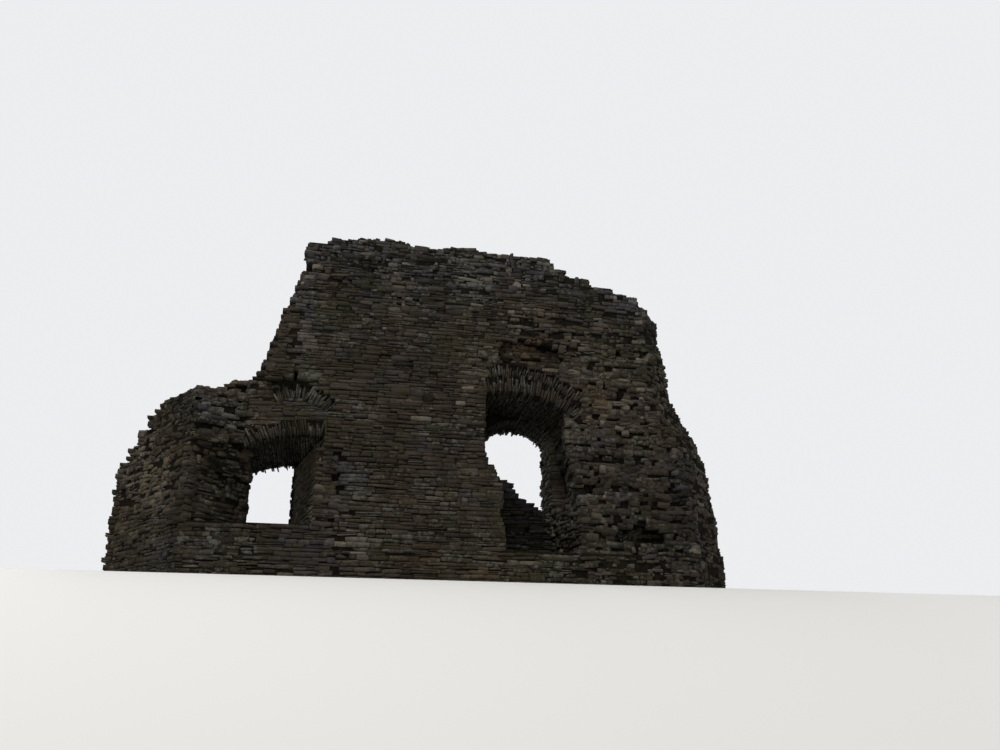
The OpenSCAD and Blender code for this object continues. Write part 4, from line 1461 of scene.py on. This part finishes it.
def growth_group():
    """Masks of lichen crusts and of moss, and rain streaks down the wall."""
    group, start, end = new_group(
        "growth",
        [("Vector", "vector", None), ("Stone", "value", 0.5)],
        [("Lichen", "value"), ("Moss", "value"), ("Streaks", "value"), ("Specks", "value")],
    )
    vector = start.outputs["Vector"]
    spots = noise_at(group, vector, scale=9.0, detail=6.0, rough=0.7)
    patches = noise_at(group, vector, scale=0.9, detail=2.0, rough=0.5)
    lichen = add(group, spots, times(group, patches, 0.5))
    lichen = add(group, lichen, times(group, start.outputs["Stone"], 0.18))
    soft_spots = noise_at(group, vector, scale=2.3, detail=5.0, rough=0.65)
    wet = noise_at(group, vector, scale=0.55, detail=2.0, rough=0.5)
    moss = add(group, soft_spots, times(group, wet, 0.8))
    specks = noise_at(group, vector, scale=24.0, detail=3.0)
    specks = add(group, specks, times(group, patches, 0.25))
    streaks = noise_at(group, vector, scale=1.9, stretch=(1.0, 1.0, 0.12))
    masks = (
        ("Lichen", lichen, 0.90, 1.02),
        ("Moss", moss, 0.88, 1.06),
        ("Specks", specks, 0.74, 0.84),
        ("Streaks", streaks, 0.44, 0.66),
    )
    for name, value, low, high in masks:
        group.links.new(ramp(group, value, low, high), end.inputs[name])
    return group


def stone_material(groups):
    """Weathered slab stone that takes its tone from the stone's own attribute."""
    values = colours()
    material, tree, shader = new_material("weathered_slab")
    where = node(tree, "ShaderNodeTexCoord").outputs["Object"]
    looks = node(tree, "ShaderNodeAttribute", attribute_name="stone").outputs["Color"]
    parts = node(tree, "ShaderNodeSeparateColor", {"Color": looks})
    tone, warm, grown = parts.outputs[0], parts.outputs[1], parts.outputs[2]
    grain = node(tree, "ShaderNodeGroup", {"Vector": where}, node_tree=groups["grain"])
    growth = node(
        tree, "ShaderNodeGroup", {"Vector": where, "Stone": grown}, node_tree=groups["growth"]
    )
    body = blend(tree, ramp(tree, warm, 0.0, 0.3), rgba(values.cool), rgba(values.mid))
    body = blend(tree, ramp(tree, tone, 0.0, 0.5), rgba(values.dark), body)
    body = blend(tree, ramp(tree, tone, 0.5, 1.0), body, rgba(values.pale))
    stained = blend(tree, ramp(tree, tone, 0.2, 0.8), rgba(values.rust), rgba(values.ochre))
    stain = times(tree, ramp(tree, warm, 0.4, 1.0), 0.8)
    body = blend(tree, stain, body, stained)
    shade = ramp(tree, grain.outputs["Value"], 0.28, 0.72)
    light = add(tree, times(tree, shade, 1.1), 0.45)
    body = blend(tree, 1.0, body, grey(tree, light), "MULTIPLY")
    body = coat(tree, body, growth.outputs["Streaks"], 0.30, values.dark)
    body = coat(tree, body, growth.outputs["Moss"], 0.42, values.moss)
    crust = times(tree, growth.outputs["Lichen"], 0.55)
    crust = add(tree, crust, times(tree, growth.outputs["Specks"], 0.5), clamp=True)
    body = blend(tree, crust, body, rgba(values.lichen))
    tree.links.new(body, shader.inputs["Base Color"])
    rough = add(tree, times(tree, shade, 0.14), 0.80)
    tree.links.new(rough, shader.inputs["Roughness"])
    shader.inputs["Specular IOR Level"].default_value = 0.06
    relief = {"Height": grain.outputs["Height"], "Distance": 0.018, "Strength": 1.0}
    bump = node(tree, "ShaderNodeBump", relief)
    tree.links.new(bump.outputs[0], shader.inputs["Normal"])
    return material


def mortar_and_joint_shade_material(groups):
    """Crumbling earthy mortar, seen in the joints and where stones are missing, and painted dark
    as the shade deep in them.
    """
    values = colours()
    material, tree, shader = new_material("crumbling_mortar_and_joint_shade")
    where = node(tree, "ShaderNodeTexCoord").outputs["Object"]
    lumps = noise_at(tree, where, scale=9.0, detail=6.0, rough=0.7)
    grit = noise_at(tree, where, scale=45.0, detail=3.0)
    growth = node(tree, "ShaderNodeGroup", {"Vector": where}, node_tree=groups["growth"])
    light = add(tree, times(tree, ramp(tree, lumps, 0.3, 0.7), 1.2), 0.35)
    # The mortar colour carries painted shade of the deep joints and holes.
    body = blend(tree, 1.0, rgba(values.mortar), grey(tree, light), "MULTIPLY")
    body = coat(tree, body, growth.outputs["Moss"], 0.2, values.moss)
    tree.links.new(body, shader.inputs["Base Color"])
    rough = add(tree, times(tree, grit, 0.1), 0.88)
    tree.links.new(rough, shader.inputs["Roughness"])
    shader.inputs["Specular IOR Level"].default_value = 0.03
    height = add(tree, lumps, times(tree, grit, 0.25))
    bump = node(tree, "ShaderNodeBump", {"Height": height, "Distance": 0.05, "Strength": 1.0})
    tree.links.new(bump.outputs[0], shader.inputs["Normal"])
    return material


# What the operators share


class Workshop:
    """Made once, then used by every operator."""

    def __init__(self):
        self.solids = Frame()
        self.shapes = StoneShapes()
        self.mason = Mason(self.solids, self.shapes)
        groups = {"grain": split_grain_group(), "growth": growth_group()}
        self.stone = stone_material(groups)
        self.mortar = mortar_and_joint_shade_material(groups)


workshop = []


def shop():
    if not workshop:
        workshop.append(Workshop())
    return workshop[0]


class KEEP_OT_mortar_and_joint_shade(bpy.types.Operator):
    """Gives every CAD node its crumbling mortar, painted dark as the shade in the joints."""

    bl_idname = "keep.mortar"
    bl_label = "Mortar"

    def execute(self, context):
        for each in NODES.values():
            each.data.materials.clear()
            each.data.materials.append(shop().mortar)
        return {"FINISHED"}


class KEEP_OT_courses(bpy.types.Operator):
    """Lays the courses of slabs and rubble on every upright face."""

    bl_idname = "keep.courses"
    bl_label = "Courses"

    def execute(self, context):
        mason = shop().mason
        mason.lay_all()
        mason.lay_marked()
        mason.make_pieces(shop().stone)
        return {"FINISHED"}


class KEEP_OT_arches(bpy.types.Operator):
    """Sets the slabs on edge of every arch and vault."""

    bl_idname = "keep.arches"
    bl_label = "Arches"

    def execute(self, context):
        rng = np.random.default_rng(ARCH_SEED)
        outer = WINDOW_ARCH.outer(WINDOW_OUTER_SLAB)
        rings = (
            ("door_arch_voussoirs", DOOR_ARCH, DOOR_EAST_X, PIER_EAST_X, door_face),
            ("window_inner_voussoirs", WINDOW_ARCH, HAUNCH_X, WINDOW_WEST_X, plain_face),
            ("window_outer_voussoirs", outer, HAUNCH_X, WINDOW_WEST_X, plain_face),
        )
        for name, arch, east, west, face in rings:
            self.ring(name, rng, arch, arch.angle(east), arch.angle(west), face)
        self.ring("door_relieving_voussoirs", rng, RELIEVING_ARCH, *RELIEVING_SPAN, door_face)
        self.vaults(rng)
        door_ends = (DOOR_ARCH.angle(DOOR_EAST_X), DOOR_ARCH.angle(PIER_EAST_X))
        self.ring("door_rear_voussoirs", rng, DOOR_ARCH, *door_ends, rear_face)
        self.ring("window_rear_voussoirs", rng, rear_arch(), *REAR_SPAN, rear_face)
        return {"FINISHED"}

    def ring(self, name, rng, arch, start, end, face):
        heap = StoneHeap()
        lay_ring(heap, shop().shapes, rng, arch, start, end, face)
        heap.make(name, shop().stone, "arch_slabs")

    def vaults(self, rng):
        """Undersides of the doorway, and of the window's outer and inner stages."""
        it = shop()
        door, window = StoneHeap(), StoneHeap()
        half = (DOOR_EAST_X - PIER_EAST_X) / 2
        front = CORE_FRONT_Y - 0.1
        # Heap, where the rays start in X and Z, how far they go, Y from and to, and the nodes
        places = (
            (door, DOOR_EAST_X - half, DOOR_ARCH.z + DOOR_ARCH.radius - half, half, front, REAR_Y,
             ("door_vault", "door_arch_slabs")),
            (window, WINDOW_ARCH.x + 0.3, WINDOW_ARCH.z + 1.2, 1.4, front, WINDOW_STAGE_Y,
             ("window_front_vault", "window_inner_ring")),
            (window, WINDOW_ARCH.x + 0.5, WINDOW_ARCH.z + 1.2, 1.2, WINDOW_STAGE_Y, REAR_Y,
             ("window_rear_arch",)),
        )
        for heap, x, z, reach, y0, y1, nodes in places:
            lay_soffit(heap, it.solids, it.shapes, rng, x, z, reach, y0, y1, nodes)
        door.make("door_vault_slabs", it.stone, "arch_slabs")
        window.make("window_vault_slabs", it.stone, "arch_slabs")


class KEEP_OT_tops(bpy.types.Operator):
    """Scatters loose stones on the broken tops."""

    bl_idname = "keep.tops"
    bl_label = "Broken tops"

    def execute(self, context):
        it = shop()
        heap = lay_tops(it.mason)
        lay_pile(it.mason, heap, HEAD_OUTLINE, FRONT_Y, REAR_Y)
        heap.make("loose_top_stones", it.stone, "wall_head_rubble")
        breast = StoneHeap()
        lay_pile(it.mason, breast, BREAST_OUTLINE, WINDOW_STAGE_Y, REAR_Y)
        breast.make("breast_wall_top_stones", it.stone, "jamb_masonry")
        return {"FINISHED"}


# The photograph's camera: place in metres, turn and pitch in degrees, lens and sensor in mm
CAMERA_SPOT = (-2.59, -23.15, -3.07)
CAMERA_TURN = 11.0
CAMERA_PITCH = 21.0
CAMERA_LENS = 32.4
CAMERA_SENSOR = 36.0
CAMERA_FAR = 500.0
# Square lamps: name, place, side and power, and the place that they look at
LAMPS = (
    ("key", (-12, -17, 27), 10.0, 6600.0),
    ("fill", (22, -18, 10), 14.0, 1300.0),
    ("back", (-6, 22, 18), 12.0, 2400.0),
)
LAMP_AIM = (0, 0, 4)
# Light of the world on the object; the backdrop itself is at 1
WORLD_LIGHT = 0.55
# Floor: half its side, its level round the wall, and where it starts to fall away
FLOOR_REACH = 90
FLOOR_Z = -0.004
FLOOR_EDGE_Y = FRONT_Y - 0.25


class KEEP_OT_stage(bpy.types.Operator):
    """Makes the floor, the light and the camera."""

    bl_idname = "keep.stage"
    bl_label = "Stage"

    def execute(self, context):
        self.floor()
        self.world()
        for each in LAMPS:
            self.lamp(*each)
        self.camera()
        return {"FINISHED"}

    def floor(self):
        """Level round the wall, and falling away towards the low camera."""
        bm = bmesh.new()
        bmesh.ops.create_grid(bm, x_segments=2, y_segments=220, size=1.0)
        for v in bm.verts:
            v.co.x *= FLOOR_REACH
            v.co.y *= FLOOR_REACH
            ahead = max(0.0, FLOOR_EDGE_Y - v.co.y)
            v.co.z = FLOOR_Z - ahead**1.6 / (6.0 + 0.10 * ahead**1.45)
        mesh = bpy.data.meshes.new("floor")
        bm.to_mesh(mesh)
        bm.free()
        mesh.shade_smooth()
        floor = bpy.data.objects.new("floor", mesh)
        bpy.context.scene.collection.objects.link(floor)
        material, _, shader = new_material("plain_floor")
        shader.inputs["Base Color"].default_value = rgba(bpy.context.scene.keep_stage.floor)
        shader.inputs["Roughness"].default_value = 0.9
        mesh.materials.append(material)

    def world(self):
        """Even light from everywhere, and the backdrop that the camera sees."""
        world = bpy.data.worlds.new("studio")
        bpy.context.scene.world = world
        world.use_nodes = True
        tree = world.node_tree
        tree.nodes.clear()
        seen = node(tree, "ShaderNodeBackground", {"Strength": 1.0})
        seen.inputs["Color"].default_value = rgba(bpy.context.scene.keep_stage.sky)
        light = node(tree, "ShaderNodeBackground", {"Strength": WORLD_LIGHT})
        light.inputs["Color"].default_value = (1.0, 1.0, 1.0, 1.0)
        path = node(tree, "ShaderNodeLightPath")
        mix = node(tree, "ShaderNodeMixShader", {0: path.outputs["Is Camera Ray"]})
        tree.links.new(light.outputs[0], mix.inputs[1])
        tree.links.new(seen.outputs[0], mix.inputs[2])
        output = node(tree, "ShaderNodeOutputWorld")
        tree.links.new(mix.outputs[0], output.inputs["Surface"])

    def lamp(self, name, spot, size, power):
        """A square lamp that looks at the wall."""
        data = bpy.data.lights.new(name, "AREA")
        data.shape = "SQUARE"
        data.size = size
        data.energy = power
        lamp = bpy.data.objects.new(name, data)
        lamp.location = spot
        aim = Vector(LAMP_AIM) - Vector(spot)
        lamp.rotation_euler = aim.to_track_quat("-Z", "Y").to_euler()
        bpy.context.scene.collection.objects.link(lamp)

    def camera(self):
        """The camera at the photograph's viewing angle."""
        data = bpy.data.cameras.new("camera")
        data.lens = CAMERA_LENS
        data.sensor_width = CAMERA_SENSOR
        data.clip_end = CAMERA_FAR
        camera = bpy.data.objects.new("camera", data)
        camera.location = CAMERA_SPOT
        camera.rotation_euler = (
            math.radians(90 + CAMERA_PITCH),
            0.0,
            math.radians(-CAMERA_TURN),
        )
        bpy.context.scene.collection.objects.link(camera)
        bpy.context.scene.camera = camera
        bpy.context.scene.view_settings.view_transform = "Standard"


class KEEP_PT_panel(bpy.types.Panel):
    """Lists the settings and the steps in the sidebar."""

    bl_idname = "KEEP_PT_panel"
    bl_label = "Castle keep wall"
    bl_space_type = "VIEW_3D"
    bl_region_type = "UI"
    bl_category = "Keep"

    def draw(self, context):
        for name in GROUPS:
            group = getattr(context.scene, name)
            for key in group.__annotations__:
                self.layout.prop(group, key)
        for step in STEPS:
            self.layout.operator(step.bl_idname)


STEPS = (
    KEEP_OT_mortar_and_joint_shade,
    KEEP_OT_courses,
    KEEP_OT_arches,
    KEEP_OT_tops,
    KEEP_OT_stage,
)
GROUPS = {
    "keep_masonry": MasonrySettings,
    "keep_colours": StoneColours,
    "keep_stage": StageSettings,
}


def register():
    for each in (*GROUPS.values(), *STEPS, KEEP_PT_panel):
        bpy.utils.register_class(each)
    for name, group in GROUPS.items():
        setattr(bpy.types.Scene, name, PointerProperty(type=group))


def unregister():
    for name in GROUPS:
        delattr(bpy.types.Scene, name)
    for each in reversed((*GROUPS.values(), *STEPS, KEEP_PT_panel)):
        bpy.utils.unregister_class(each)


def main():
    register()
    bpy.ops.keep.mortar()
    bpy.ops.keep.courses()
    bpy.ops.keep.arches()
    bpy.ops.keep.tops()
    bpy.ops.keep.stage()


if __name__ == "__main__":
    main()
